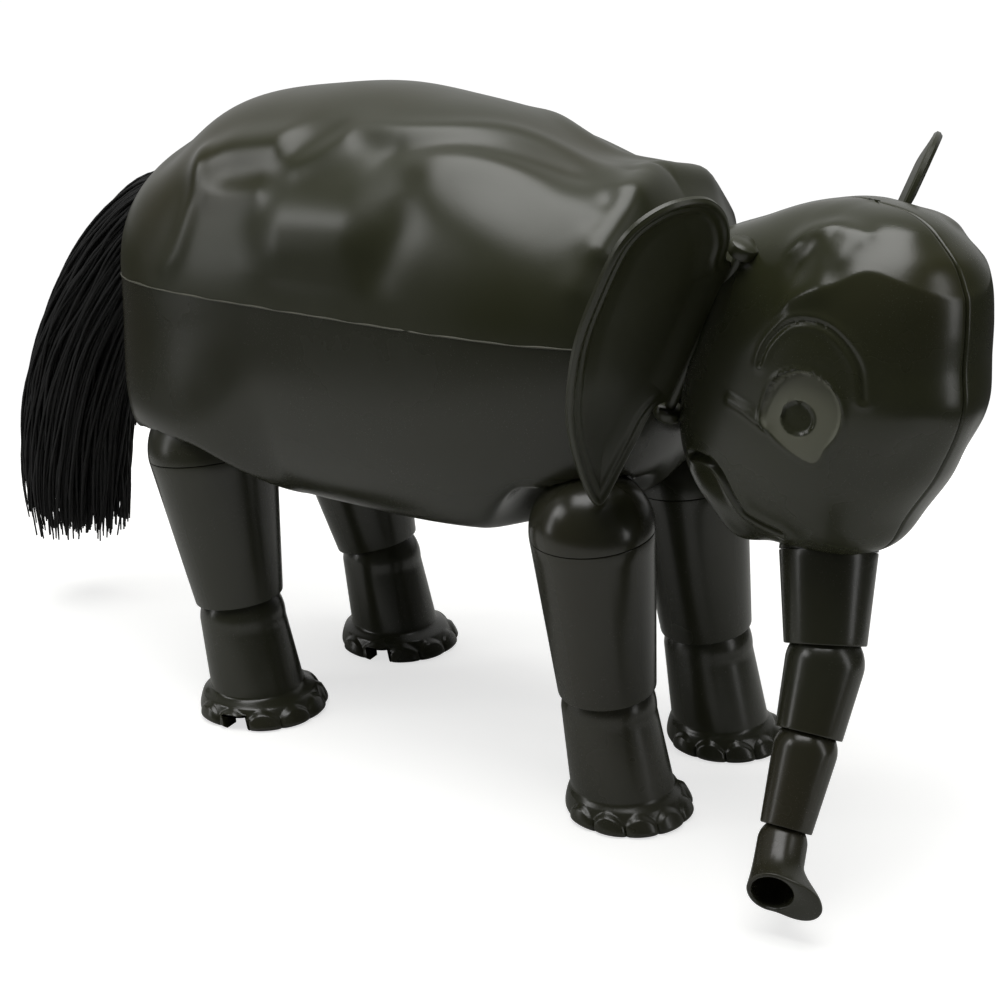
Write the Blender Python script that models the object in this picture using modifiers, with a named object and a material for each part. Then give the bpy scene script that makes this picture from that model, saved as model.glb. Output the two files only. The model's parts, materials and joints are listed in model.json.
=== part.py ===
"""A strung toy elephant in moulded plastic: a two-shell body, four jointed legs, a
two-half head with hinged ears, a trunk of nested tubes and a yarn tail.

Metres, +Z up, +X towards the head. The origin is on the floor, under the middle of
the toy's box. Every tube ends in an open rim that bears on the round dome of the
next piece, and an elastic cord pulls the chain together. It is posed as it stands:
legs leaning forward, head turned to its right and trunk curling out.
"""

import math

import bmesh
import bpy
from mathutils import Matrix, Vector

# Where the stance frame (floor point midway between the rear hips) lies in the model.
ORIGIN_BACK = 0.06445
ORIGIN_SIDE = -0.00779

# Clearances and walls shared by the whole toy.
RUNNING_GAP = 0.0004
SEAT_GAP = 0.0003
TUBE_WALL = 0.0018
SHELL_WALL = 0.0024
CORD_RADIUS = 0.0011
CORD_HOLE_RADIUS = 0.0018
KNOT_RADIUS = 0.0032

# Body shells.
BODY_LENGTH = 0.232
BODY_WIDTH = 0.1225
BODY_CENTRE_SHARE = 0.5690
SEAM_RISE = 0.0643
BACK_RISE = 0.0717
BELLY_DROP = 0.0830
FRONT_HIP_DROP = 0.0520
REAR_HIP_DROP = 0.0565
HIP_FLAT_RADIUS = 0.0225
HIP_FADE_RADIUS = 0.0440
HAUNCH_SWELL = 0.0032
HAUNCH_REACH = 0.0480
PLAN_POWER = 4.0
TOP_POWER = 2.25
BELLY_POWER = 3.0
HAUNCH_POWER = 6.0
FRONT_BELLY_POWER = 2.8
REAR_BELLY_POWER = 4.0
BLEND_POWER = 10.0
BACK_PROFILE_SHARES = (
    (-1.00, 0.62),
    (-0.89, 0.75),
    (-0.60, 0.92),
    (-0.30, 0.98),
    (-0.08, 1.00),
    (0.14, 0.96),
    (0.35, 0.90),
    (0.62, 0.76),
    (0.75, 0.74),
    (0.87, 0.76),
    (1.00, 0.66),
)

# Legs: where they hang, and how they stand.
# Where each pair hangs: along from the body's middle, as a share of its length, and
# the track as a share of its width.
HIP_PLACE_SHARES = {"front": (0.4013, 0.5453), "rear": (-0.3080, 0.6204)}
# Each upper leg's lean from upright, and the heading that it leans to.
LEG_STANCES = {
    "front_right": (math.radians(8.2), math.radians(74.0)),
    "front_left": (math.radians(9.2), math.radians(54.5)),
    "rear_right": (math.radians(7.5), math.radians(17.7)),
    "rear_left": (math.radians(13.5), math.radians(23.4)),
}
LOWER_LEAN = math.radians(12.5)
FRONT_CAP_RADIUS = 0.0209
REAR_CAP_RADIUS = 0.0242
CAP_WALL = 0.0020
CAP_SPIGOT = 0.0040
UPPER_LENGTH = 0.0592
UPPER_FOOT_RADIUS = 0.0169
KNEE_RADIUS = 0.0165
LOWER_DROP = 0.0363
ANKLE_HEIGHT = 0.0105
ANKLE_RADIUS = 0.0180
# How far each foot reaches ahead, back and sideways from its middle.
FOOT_REACHES = {"front": (0.0222, 0.0208, 0.0215), "rear": (0.0247, 0.0237, 0.0241)}
TOE_SIZE = 0.0017
TOE_STEP = math.radians(30.0)
TOES_EACH_SIDE = 4
SOLE_STEP = 0.0003
# Down the foot from the ankle, then how far its outline and its toes have swelled.
FOOT_SHARES = ((0.22, 0.89, 0.0), (0.52, 0.96, 0.9), (0.80, 1.00, 1.0), (1.00, 0.95, 0.7))
NOTCH_WIDTH = 0.0090
NOTCH_HEIGHT = 0.0058
NOTCH_AZIMUTH = math.radians(-72.0)

# Neck and head.
NECK_FORWARD = 0.0140
NECK_DROP = 0.0252
NECK_RADIUS = 0.0190
HEAD_YAW = math.radians(-23.0)
HEAD_MIDDLE_RISE = 0.0189
HEAD_HALF_HEIGHT = 0.0545
HEAD_FRONT = 0.0580
HEAD_BACK = 0.0320
HEAD_HALF_WIDTH = 0.0385
HEAD_POWER = 2.6
FACE_POWER = 2.0
NAPE_POWER = 3.1
# Height share, then where the widest place lies, and the face, nape and width shares there.
HEAD_FORM_SHARES = (
    (-1.00, 0.80, 1.12, 0.75, 0.80),
    (-0.88, 0.82, 1.03, 0.80, 0.86),
    (-0.65, 0.86, 0.90, 0.90, 0.95),
    (-0.34, 0.92, 0.95, 1.00, 1.00),
    (0.00, 1.02, 0.99, 1.00, 1.00),
    (0.24, 1.14, 0.91, 0.93, 1.00),
    (0.44, 1.26, 0.87, 0.94, 0.98),
    (0.61, 1.38, 0.84, 1.01, 0.96),
    (0.76, 1.46, 0.82, 1.12, 0.95),
    (0.88, 1.52, 0.77, 1.24, 0.92),
    (1.00, 1.56, 0.80, 1.30, 0.90),
)

# Ears.
EAR_HINGE_TOP = (0.0294, 0.0308, 0.0575)
EAR_HINGE_FOOT = (0.0024, 0.0332, 0.0063)
EAR_SPREAD_POINT = (0.0031, 0.0635, 0.0075)
EAR_FOLDS = {"right": 0.0, "left": math.radians(38.0)}
EAR_LENGTH = 0.1190
EAR_WIDTH = 0.0495
EAR_WALL = 0.0020
EAR_CUP = 0.0015
EAR_CURL = 0.0080
EAR_CURL_START_SHARE = 0.08
EAR_BAR_RADIUS = 0.0018
EAR_LUG_RADIUS = 0.0045
EAR_LUG_LENGTH = 0.0040
EAR_MIDDLE_SHARES = (0.20, 0.52)
# Size of each ring of the ear's face, then how deep it lies.
EAR_DISH_SHARES = ((1.0, 0.0), (0.88, 0.50), (0.50, 0.92))
# Along the hinge from its foot as a share of the length, and out as a share of the width.
EAR_OUTLINE_SHARES = (
    (0.660, 0.49),
    (0.640, 0.76),
    (0.555, 0.95),
    (0.390, 0.99),
    (0.240, 0.97),
    (0.080, 0.87),
    (-0.030, 0.77),
    (-0.130, 0.65),
    (-0.215, 0.53),
    (-0.262, 0.43),
    (-0.240, 0.34),
    (-0.110, 0.21),
    (-0.030, 0.16),
    (0.008, 0.11),
    (0.040, 0.02),
    (0.220, 0.02),
    (0.435, 0.02),
    (0.478, 0.10),
    (0.545, 0.15),
    (0.620, 0.29),
)

# Trunk: radii, lengths from dome to dome, and the lean and heading of each piece.
TRUNK_ROOT_FORWARD = 0.0415
TRUNK_ROOT_DROP = 0.0358
TRUNK_WALL = 0.0015
TRUNK_DOME_RADII = (0.0152, 0.0122, 0.0099, 0.0076)
TRUNK_RIM_RADII = (0.0127, 0.0104, 0.0080)
TRUNK_STEPS = (0.0349, 0.0274, 0.0290)
TRUNK_STANCES = (
    (math.radians(22.6), math.radians(-63.0)),
    (math.radians(28.5), math.radians(-86.0)),
    (math.radians(32.0), math.radians(-86.0)),
    (math.radians(52.0), math.radians(-74.0)),
)
TRUNK_SPIGOT = 0.0030
TIP_LENGTH = 0.0174
TIP_MOUTH_RADIUS = 0.0078
TIP_BEND = math.radians(24.0)
TIP_LOBE = 0.0075
TIP_LOBE_DIP = 0.0020
TIP_LOBE_AZIMUTH = math.radians(190.0)
# Down the tip: where the lobe starts, the stations, and where the hollow begins.
TIP_LOBE_START_SHARE = 0.35
TIP_STATION_SHARES = ((0.45, 0.00), (0.75, 0.50), (1.00, 1.00))
TIP_HOLLOW_SHARE = 0.40
STRING_END = 0.0060

# Tail.
TAIL_RISE = 0.0235
TAIL_HOLE_RADIUS = 0.0034
TAIL_NECK_RADIUS = 0.0026
TAIL_RADIUS = 0.0245
TAIL_BACK = 0.0790
TAIL_FALL = 0.1560
TAIL_HOLE_REACH = 0.0190
TAIL_INNER_REACH = 0.0048
TAIL_KNOT_RADIUS = 0.0045
# Down the tail: how far back and down it hangs, and its girth.
TAIL_SHARES = (
    (0.05, -0.01, 0.35),
    (0.22, 0.05, 0.62),
    (0.48, 0.20, 0.84),
    (0.72, 0.38, 0.98),
    (0.88, 0.56, 1.04),
    (0.96, 0.72, 1.06),
    (0.99, 0.86, 1.04),
    (1.00, 1.00, 0.96),
)

# Facets.
BODY_ROUND = 24
BODY_STATIONS = 20
HOLLOW_ROUND = 24
HOLLOW_STATIONS = 20
HEAD_ROUND = 22
HEAD_HOLLOW_ROUND = 16
HEAD_HOLLOW_RINGS = 12
HEAD_RINGS = 14
LEG_ROUND = 16
TRUNK_ROUND = 14
BOSS_ROUND = 10
SOCKET_RINGS = 10
CORD_RESOLUTION = 1
HANK_RESOLUTION = 4
DISC_ROUND = 12
DOME_STEPS = 4
CUP_STEPS = 2
EAR_CURVE_STEPS = 2
MERGE_GAP = 0.00001
SHARP_ANGLE = math.radians(40.0)
DRILL_TURN = math.radians(5.0)
KNOT_ROUND = 8
KNOT_RINGS = 6

SIDES = {"right": -1, "left": 1}
OLIVE = (0.030, 0.033, 0.022, 1.0)
DARK_OLIVE = (0.024, 0.026, 0.018, 1.0)
YARN_BLACK = (0.004, 0.004, 0.004, 1.0)
STRING_TAN = (0.42, 0.31, 0.17, 1.0)


def clear_scene():
    for obj in list(bpy.data.objects):
        bpy.data.objects.remove(obj)


def collection(name):
    group = bpy.data.collections.new(name)
    bpy.context.scene.collection.children.link(group)
    return group


clear_scene()
ELEPHANT = collection("toy_elephant")
CUTTERS = collection("cutters")


def plain_material(name, colour, roughness, metallic=0.0):
    made = bpy.data.materials.new(name)
    made.use_nodes = True
    shader = made.node_tree.nodes["Principled BSDF"]
    shader.inputs["Base Color"].default_value = colour
    shader.inputs["Roughness"].default_value = roughness
    shader.inputs["Metallic"].default_value = metallic
    return made


PLASTIC_UPPER = plain_material("olive_plastic", OLIVE, 0.28)
PLASTIC_LOWER = plain_material("dark_olive_plastic", DARK_OLIVE, 0.34)
YARN = plain_material("black_yarn", YARN_BLACK, 0.95)
STRING = plain_material("tan_string", STRING_TAN, 0.85)


def empty(name, matrix, parent=None):
    made = bpy.data.objects.new(name, None)
    made.empty_display_size = KNEE_RADIUS
    ELEPHANT.objects.link(made)
    made.parent = parent
    made.matrix_local = matrix
    return made


def put(name, mesh, material, parent, matrix=None):
    """A visible piece, placed in its parent's frame."""
    made = bpy.data.objects.new(name, mesh)
    ELEPHANT.objects.link(made)
    made.parent = parent
    if matrix is not None:
        made.matrix_local = matrix
    if material is not None:
        mesh.materials.append(material)
    return made


def put_cutter(name, mesh, parent, matrix=None):
    made = bpy.data.objects.new(name, mesh)
    CUTTERS.objects.link(made)
    made.parent = parent
    if matrix is not None:
        made.matrix_local = matrix
    made.hide_render = True
    made.display_type = "WIRE"
    return made


def boolean(target, tool, operation="DIFFERENCE"):
    step = target.modifiers.new(operation.lower() + "_" + tool.name, "BOOLEAN")
    step.operation = operation
    step.object = tool
    step.solver = "EXACT"


def finished_mesh(name, bm, smooth=True):
    bmesh.ops.recalc_face_normals(bm, faces=bm.faces)
    mesh = bpy.data.meshes.new(name)
    bm.to_mesh(mesh)
    bm.free()
    if smooth:
        mesh.shade_smooth()
        mesh.set_sharp_from_angle(angle=SHARP_ANGLE)
    return mesh


def ball(name, radius, segments, rings):
    bm = bmesh.new()
    bmesh.ops.create_uvsphere(bm, u_segments=segments, v_segments=rings, radius=radius)
    return finished_mesh(name, bm)


def rod(name, radius, length, segments=DISC_ROUND):
    """A cylinder along Z, centred."""
    bm = bmesh.new()
    bmesh.ops.create_cone(
        bm, cap_ends=True, segments=segments, radius1=radius, radius2=radius, depth=length
    )
    return finished_mesh(name, bm)


def block(name, size_x, size_y, size_z):
    bm = bmesh.new()
    bmesh.ops.create_cube(bm, size=1.0)
    bmesh.ops.scale(bm, vec=(size_x, size_y, size_z), verts=bm.verts)
    return finished_mesh(name, bm, smooth=False)


def turned(name, profile, segments):
    """A closed profile of (radius, height), outer side downwards, turned about Z."""
    mesh = bpy.data.meshes.new(name)
    count = len(profile)
    edges = [(i, (i + 1) % count) for i in range(count)]
    mesh.from_pydata([(r, 0.0, z) for r, z in profile], edges, [])
    mesh.shade_smooth()
    return mesh


def add_screw(obj, segments):
    screw = obj.modifiers.new("turn", "SCREW")
    screw.steps = segments
    screw.render_steps = segments
    screw.use_merge_vertices = False


def arc(radius, start, end, steps):
    """Points (r, z) on a circle about the origin, by angle above the equator."""
    points = []
    for i in range(steps + 1):
        angle = start + (end - start) * i / steps
        points.append((radius * math.cos(angle), radius * math.sin(angle)))
    return points


def bridge(bm, ring_a, ring_b):
    """Faces between two closed rings, of equal count or one with twice as many points."""
    a, b = len(ring_a), len(ring_b)
    if a == b:
        for i in range(a):
            j = (i + 1) % a
            bm.faces.new((ring_a[i], ring_a[j], ring_b[j], ring_b[i]))
        return
    few, many = (ring_a, ring_b) if a < b else (ring_b, ring_a)
    for i in range(len(few)):
        j = (i + 1) % len(few)
        k = 2 * i
        last = (k + 2) % len(many)
        bm.faces.new((few[i], many[k], many[k + 1]))
        bm.faces.new((few[i], many[k + 1], few[j]))
        bm.faces.new((few[j], many[k + 1], many[last]))


def loft(name, rings):
    """A closed solid with a hole through it, from rings that run out and back inside."""
    bm = bmesh.new()
    made = [[bm.verts.new(point) for point in ring] for ring in rings]
    for i, ring in enumerate(made):
        bridge(bm, ring, made[(i + 1) % len(made)])
    return finished_mesh(name, bm)


def ring_points(count, centre, radius_at, tilt=None):
    points = []
    for i in range(count):
        angle = 2 * math.pi * i / count
        r = radius_at(angle)
        point = Vector((r * math.cos(angle), r * math.sin(angle), 0.0))
        if tilt is not None:
            point = tilt @ point
        points.append(point + centre)
    return points


def smooth_step(low, high, value):
    share = min(max((value - low) / (high - low), 0.0), 1.0)
    return share * share * (3 - 2 * share)


def curve_through(table, at):
    """A smooth value from rows of (place, value, ...): Catmull-Rom slopes."""
    places = [row[0] for row in table]
    at = min(max(at, places[0]), places[-1])
    i = 0
    while i < len(places) - 2 and at > places[i + 1]:
        i += 1
    span = places[i + 1] - places[i]
    t = (at - places[i]) / span
    result = []
    for column in range(1, len(table[0])):
        def slope(k):
            before, after = max(k - 1, 0), min(k + 1, len(places) - 1)
            rise = table[after][column] - table[before][column]
            return rise / (places[after] - places[before])

        y0, y1 = table[i][column], table[i + 1][column]
        m0, m1 = slope(i) * span, slope(i + 1) * span
        a = 2 * y0 - 2 * y1 + m0 + m1
        b = -3 * y0 + 3 * y1 - 2 * m0 - m1
        result.append(((a * t + b) * t + m0) * t + y0)
    return result


def power(value, exponent):
    return math.copysign(abs(value) ** exponent, value)


def wire(name, points, radii, resolution=CORD_RESOLUTION):
    """A round tube along points, as a closed mesh."""
    data = bpy.data.curves.new(name, "CURVE")
    data.dimensions = "3D"
    data.bevel_depth = 1.0
    data.bevel_resolution = resolution
    data.use_fill_caps = True
    spline = data.splines.new("POLY")
    spline.points.add(len(points) - 1)
    for target, point, radius in zip(spline.points, points, radii):
        target.co = (*point, 1.0)
        target.radius = radius
    guide = bpy.data.objects.new(name + "_guide", data)
    CUTTERS.objects.link(guide)
    bpy.context.view_layer.update()
    graph = bpy.context.evaluated_depsgraph_get()
    mesh = bpy.data.meshes.new_from_object(guide.evaluated_get(graph))
    mesh.name = name
    bpy.data.objects.remove(guide)
    bm = bmesh.new()
    bm.from_mesh(mesh)
    bmesh.ops.remove_doubles(bm, verts=bm.verts, dist=MERGE_GAP)
    bmesh.ops.recalc_face_normals(bm, faces=bm.faces)
    bm.to_mesh(mesh)
    bm.free()
    mesh.shade_smooth()
    return mesh


def turn_to(direction):
    """A rotation that takes -Z to the given direction by the shortest way."""
    return Vector((0, 0, -1)).rotation_difference(Vector(direction)).to_matrix().to_4x4()


def leaning(lean, heading):
    """A direction that leans from straight down towards a heading."""
    return Vector(
        (
            math.sin(lean) * math.cos(heading),
            math.sin(lean) * math.sin(heading),
            -math.cos(lean),
        )
    )


# Heights that follow from the legs.
def rim_height(dome_radius, rim_inner_radius, segments):
    """How far above a dome's centre a rim's flats bear on it, with running clearance."""
    flat_radius = rim_inner_radius * math.cos(math.pi / segments)
    return math.sqrt((dome_radius + RUNNING_GAP) ** 2 - flat_radius**2)


KNEE_RIM_HEIGHT = rim_height(KNEE_RADIUS, UPPER_FOOT_RADIUS - TUBE_WALL, LEG_ROUND)
HIP_TO_KNEE = UPPER_LENGTH + KNEE_RIM_HEIGHT
LEAST_LEAN = min(lean for lean, _ in LEG_STANCES.values())
SEAM_HEIGHT = HIP_TO_KNEE * math.cos(LEAST_LEAN) + LOWER_DROP + SEAM_RISE
BODY_CENTRE_X = BODY_CENTRE_SHARE * BODY_LENGTH / 2
NECK_HEIGHT = SEAM_HEIGHT - NECK_DROP
NECK_X = BODY_CENTRE_X + BODY_LENGTH / 2 + NECK_FORWARD
NECK_POINT = Vector((NECK_X, 0.0, NECK_HEIGHT))

LEGS = {}
for end, cap_radius in (("front", FRONT_CAP_RADIUS), ("rear", REAR_CAP_RADIUS)):
    along_share, track_share = HIP_PLACE_SHARES[end]
    for side, sign in SIDES.items():
        name = end + "_" + side
        lean, heading = LEG_STANCES[name]
        axis = leaning(lean, heading)
        hip_height = LOWER_DROP - HIP_TO_KNEE * axis.z
        hip_x = BODY_CENTRE_X + along_share * BODY_LENGTH
        hip = Vector((hip_x, sign * track_share * BODY_WIDTH / 2, hip_height))
        LEGS[name] = (hip, axis, hip + HIP_TO_KNEE * axis, cap_radius)

ROOT = empty("elephant_frame", Matrix.Translation((-ORIGIN_BACK, -ORIGIN_SIDE, 0.0)))
BODY_FRAME = empty("body_frame", Matrix.Translation((BODY_CENTRE_X, 0.0, SEAM_HEIGHT)), ROOT)


# Body shells: one round form, cut along the level seam.
def back_height(x_share, inset):
    return BACK_RISE * curve_through(BACK_PROFILE_SHARES, x_share)[0] - inset


def belly_limit(x, y, inset):
    """How low the belly may hang at a place: it is lifted over each leg."""
    lowest = BELLY_DROP
    for name, (hip, _, _, _) in LEGS.items():
        drop = FRONT_HIP_DROP if name.startswith("front") else REAR_HIP_DROP
        gap = math.hypot(x + BODY_CENTRE_X - hip.x, y - hip.y)
        fade = smooth_step(HIP_FLAT_RADIUS, HIP_FADE_RADIUS, gap)
        lowest = min(lowest, drop + (BELLY_DROP - drop) * fade)
    return lowest - inset


def haunch_share(x):
    """1 beside the rear hips, fading to 0 a reach ahead of them."""
    ahead = x - HIP_PLACE_SHARES["rear"][0] * BODY_LENGTH
    return 1 - smooth_step(0.0, HAUNCH_REACH, ahead)


def body_point(direction, inset):
    """Moves a point of the unit ball, poles along X, onto the body's surface."""
    along = direction.x
    ring = math.hypot(direction.y, direction.z)
    half_length = BODY_LENGTH / 2 - inset
    half_width = BODY_WIDTH / 2 - inset
    swell = ring ** (2 / PLAN_POWER)
    x = half_length * power(along, 2 / PLAN_POWER)
    if ring < 1e-6:
        return Vector((x, 0.0, 0.0))
    across, rise = direction.y / ring, direction.z / ring
    if rise >= 0:
        height = back_height(x / half_length, inset)
        y = half_width * swell * power(across, 2 / TOP_POWER)
        return Vector((x, y, height * swell * rise ** (2 / TOP_POWER)))
    along_share = abs(x) / half_length
    profile = FRONT_BELLY_POWER if x > 0 else REAR_BELLY_POWER
    depth = max(1 - along_share**profile, 0.0) ** (1 / profile)
    haunch = haunch_share(x)
    shape = 2 / (BELLY_POWER + (HAUNCH_POWER - BELLY_POWER) * haunch)
    drop = (BELLY_DROP - inset) * depth * (-rise) ** shape
    bulge = HAUNCH_SWELL * haunch * smooth_step(0.0, REAR_HIP_DROP, drop) * depth
    y = (half_width * (swell + (depth - swell) * -rise) + bulge) * power(across, shape)
    ratio = drop / belly_limit(x, y, inset)
    blended = drop * (1 + ratio**BLEND_POWER) ** (-1 / BLEND_POWER)
    return Vector((x, y, -blended))


def body_form(name, inset, round_count, stations):
    bm = bmesh.new()
    bmesh.ops.create_uvsphere(
        bm,
        u_segments=round_count,
        v_segments=stations,
        radius=1,
        matrix=Matrix.Rotation(math.pi / 2, 4, "Y"),
    )
    for vert in bm.verts:
        vert.co = body_point(vert.co.copy(), inset)
    return bm


def half_mesh(name, bm, keep_side, gap):
    """Keeps what is above or below the seam, less half the seam's gap, and closes it."""
    normal = Vector((0, 0, keep_side))
    cut = bmesh.ops.bisect_plane(
        bm,
        geom=bm.verts[:] + bm.edges[:] + bm.faces[:],
        plane_co=normal * gap / 2,
        plane_no=normal,
        clear_inner=True,
    )
    rim = [item for item in cut["geom_cut"] if isinstance(item, bmesh.types.BMEdge)]
    bmesh.ops.holes_fill(bm, edges=rim, sides=0)
    return finished_mesh(name, bm)


def add_socket(name, hollow, shells, ball_radius, parent, place):
    """A round seat for a dome, with a boss behind it and a cord hole up its +Z."""
    flats = math.cos(math.pi / LEG_ROUND) * math.cos(math.pi / (2 * SOCKET_RINGS))
    radius = (ball_radius + RUNNING_GAP) / flats
    boss = ball(name + "_boss", radius + SHELL_WALL, BOSS_ROUND, BOSS_ROUND)
    boolean(hollow, put_cutter(name + "_boss", boss, parent, place))
    hollowed = ball(name + "_socket", radius, LEG_ROUND, SOCKET_RINGS)
    seat = put_cutter(name + "_socket", hollowed, parent, place)
    hole = rod(name + "_cord_hole", CORD_HOLE_RADIUS, 2 * ball_radius)
    up = place @ Matrix.Translation((0, 0, ball_radius)) @ Matrix.Rotation(DRILL_TURN, 4, "Z")
    drill = put_cutter(name + "_cord_hole", hole, parent, up)
    for shell in shells:
        boolean(shell, seat)
        boolean(shell, drill)


def make_body():
    upper_bm = body_form("upper", 0.0, BODY_ROUND, BODY_STATIONS)
    lower_bm = body_form("lower", 0.0, BODY_ROUND, BODY_STATIONS)
    upper_mesh = half_mesh("body_upper_shell", upper_bm, 1, SEAT_GAP)
    lower_mesh = half_mesh("body_lower_shell", lower_bm, -1, SEAT_GAP)
    upper = put("body_upper_shell", upper_mesh, PLASTIC_UPPER, BODY_FRAME)
    lower = put("body_lower_shell", lower_mesh, PLASTIC_LOWER, BODY_FRAME)
    hollow_bm = body_form("hollow", SHELL_WALL, HOLLOW_ROUND, HOLLOW_STATIONS)
    hollow = put_cutter("body_hollow", finished_mesh("body_hollow", hollow_bm), BODY_FRAME)
    for name, (hip, heading, _, cap_radius) in LEGS.items():
        place = Matrix.Translation(hip) @ turn_to(heading)
        add_socket(name + "_hip", hollow, [lower], cap_radius, ROOT, place)
    neck = Matrix.Translation(NECK_POINT) @ Matrix.Rotation(HEAD_YAW, 4, "Z")
    neck = neck @ Matrix.Rotation(-math.pi / 2, 4, "Y")
    add_socket("body_neck", hollow, [lower], NECK_RADIUS, ROOT, neck)
    boolean(upper, hollow)
    boolean(lower, hollow)
    return upper


UPPER_SHELL = make_body()


# Legs.
def cap_mesh(name, radius):
    taper = (radius - UPPER_FOOT_RADIUS) / UPPER_LENGTH
    inner = radius - CAP_WALL
    spigot = radius - TUBE_WALL - RUNNING_GAP
    spigot_foot = spigot - taper * CAP_SPIGOT
    bore = spigot_foot - CAP_WALL
    profile = arc(radius, math.acos(CORD_HOLE_RADIUS / radius), 0.0, DOME_STEPS)
    profile += [(spigot, 0.0), (spigot_foot, -CAP_SPIGOT), (bore, -CAP_SPIGOT)]
    profile += arc(inner, math.acos(bore / inner), math.acos(CORD_HOLE_RADIUS / inner), CUP_STEPS)
    return turned(name, profile, LEG_ROUND)


def upper_leg_mesh(name, radius):
    profile = [
        (radius, -SEAT_GAP),
        (UPPER_FOOT_RADIUS, -UPPER_LENGTH),
        (UPPER_FOOT_RADIUS - TUBE_WALL, -UPPER_LENGTH),
        (radius - TUBE_WALL, -SEAT_GAP),
    ]
    return turned(name, profile, LEG_ROUND)


def toe_swell(angle):
    """How far the foot's outline stands out for its toes, by azimuth from the front."""
    turned_to = math.atan2(math.sin(angle), math.cos(angle))
    if abs(turned_to) >= TOES_EACH_SIDE * TOE_STEP:
        return 0.0
    return TOE_SIZE * abs(math.cos(math.pi * (turned_to / TOE_STEP - 0.5)))


def foot_radius(reaches, angle, grow, toes):
    ahead, back, aside = reaches
    forward = ahead if math.cos(angle) > 0 else back
    base = 1 / math.hypot(math.cos(angle) / forward, math.sin(angle) / aside)
    return base * grow + toes * toe_swell(angle)


def lower_leg_mesh(name, reaches):
    """Dome, leaning shaft and a flared foot with toes, hollow from the sole up."""
    many = 2 * LEG_ROUND
    lean = math.tan(LOWER_LEAN)
    ankle = -(LOWER_DROP - ANKLE_HEIGHT)

    def middle(z):
        return Vector((max(-z, 0.0) * lean, 0.0, z))

    def disc(z, radius, count=LEG_ROUND):
        return ring_points(count, middle(z), lambda angle: radius)

    def foot(z, grow, toes):
        return ring_points(many, middle(z), lambda angle: foot_radius(reaches, angle, grow, toes))

    hole_angle = math.acos(CORD_HOLE_RADIUS / KNEE_RADIUS)
    rings = [disc(z, r) for r, z in arc(KNEE_RADIUS, hole_angle, 0.0, DOME_STEPS)]
    rings.append(disc(ankle, ANKLE_RADIUS))
    for down, grow, toes in FOOT_SHARES:
        rings.append(foot(ankle - down * ANKLE_HEIGHT, grow, toes))
    rings.append(disc(-LOWER_DROP, ANKLE_RADIUS - SOLE_STEP))
    rings.append(disc(ankle, ANKLE_RADIUS - TUBE_WALL))
    inner = KNEE_RADIUS - TUBE_WALL
    inner_hole = math.acos(CORD_HOLE_RADIUS / inner)
    rings += [disc(z, r) for r, z in arc(inner, 0.0, inner_hole, CUP_STEPS)]
    return loft(name, rings)


def make_cord(name, points, knots):
    """An elastic cord along its route, with a knot at each given place."""
    made = put(name, wire(name, points, [CORD_RADIUS] * len(points)), STRING, ROOT)
    for index, knot in enumerate(knots):
        bead = ball(name + "_knot", KNOT_RADIUS, KNOT_ROUND, KNOT_RINGS)
        tied = put_cutter("%s_knot_%d" % (name, index), bead, ROOT, Matrix.Translation(knot))
        boolean(made, tied, "UNION")


def make_legs():
    caps, tubes, lowers = {}, {}, {}
    for end, radius in (("front", FRONT_CAP_RADIUS), ("rear", REAR_CAP_RADIUS)):
        caps[end] = cap_mesh(end + "_hip_cap", radius)
        tubes[end] = upper_leg_mesh(end + "_upper_leg", radius)
        lowers[end] = lower_leg_mesh(end + "_lower_leg", FOOT_REACHES[end])
        for mesh in (caps[end], tubes[end], lowers[end]):
            mesh.materials.append(PLASTIC_LOWER)
    for name, (hip, heading, knee, cap_radius) in LEGS.items():
        end = name.split("_")[0]
        hip_joint = empty(name + "_hip_joint", Matrix.Translation(hip) @ turn_to(heading), ROOT)
        add_screw(put(name + "_hip_cap", caps[end], None, hip_joint), LEG_ROUND)
        add_screw(put(name + "_upper_leg", tubes[end], None, hip_joint), LEG_ROUND)
        knee_joint = empty(name + "_knee_joint", Matrix.Translation(knee), ROOT)
        piece = put(name + "_lower_leg", lowers[end], None, knee_joint)
        if end == "rear":
            reach = FOOT_REACHES[end][2]
            cut = block("sole_notch", 2 * reach, NOTCH_WIDTH, 2 * NOTCH_HEIGHT)
            place = Matrix.Translation((math.tan(LOWER_LEAN) * LOWER_DROP, 0.0, -LOWER_DROP))
            place = place @ Matrix.Rotation(NOTCH_AZIMUTH, 4, "Z") @ Matrix.Translation((reach, 0.0, 0.0))
            boolean(piece, put_cutter(name + "_sole_notch", cut, knee_joint, place))
        up = Vector((0, 0, 1))
        knot_top = hip - heading * (cap_radius + RUNNING_GAP + SHELL_WALL + SEAT_GAP + KNOT_RADIUS)
        knot_foot = knee + up * (KNEE_RADIUS - TUBE_WALL - KNOT_RADIUS - SEAT_GAP)
        under_cap = hip - heading * (cap_radius - 2 * CAP_WALL)
        over_knee = knee + up * (KNEE_RADIUS + TUBE_WALL)
        route = [knot_top, under_cap, over_knee, knot_foot]
        make_cord(name + "_leg_cord", route, [knot_top, knot_foot])


make_legs()


# Head: two halves glued on the middle plane.
HEAD_FRAME = empty(
    "head_frame",
    Matrix.Translation((NECK_X, 0.0, NECK_HEIGHT)) @ Matrix.Rotation(HEAD_YAW, 4, "Z"),
    ROOT,
)


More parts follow.
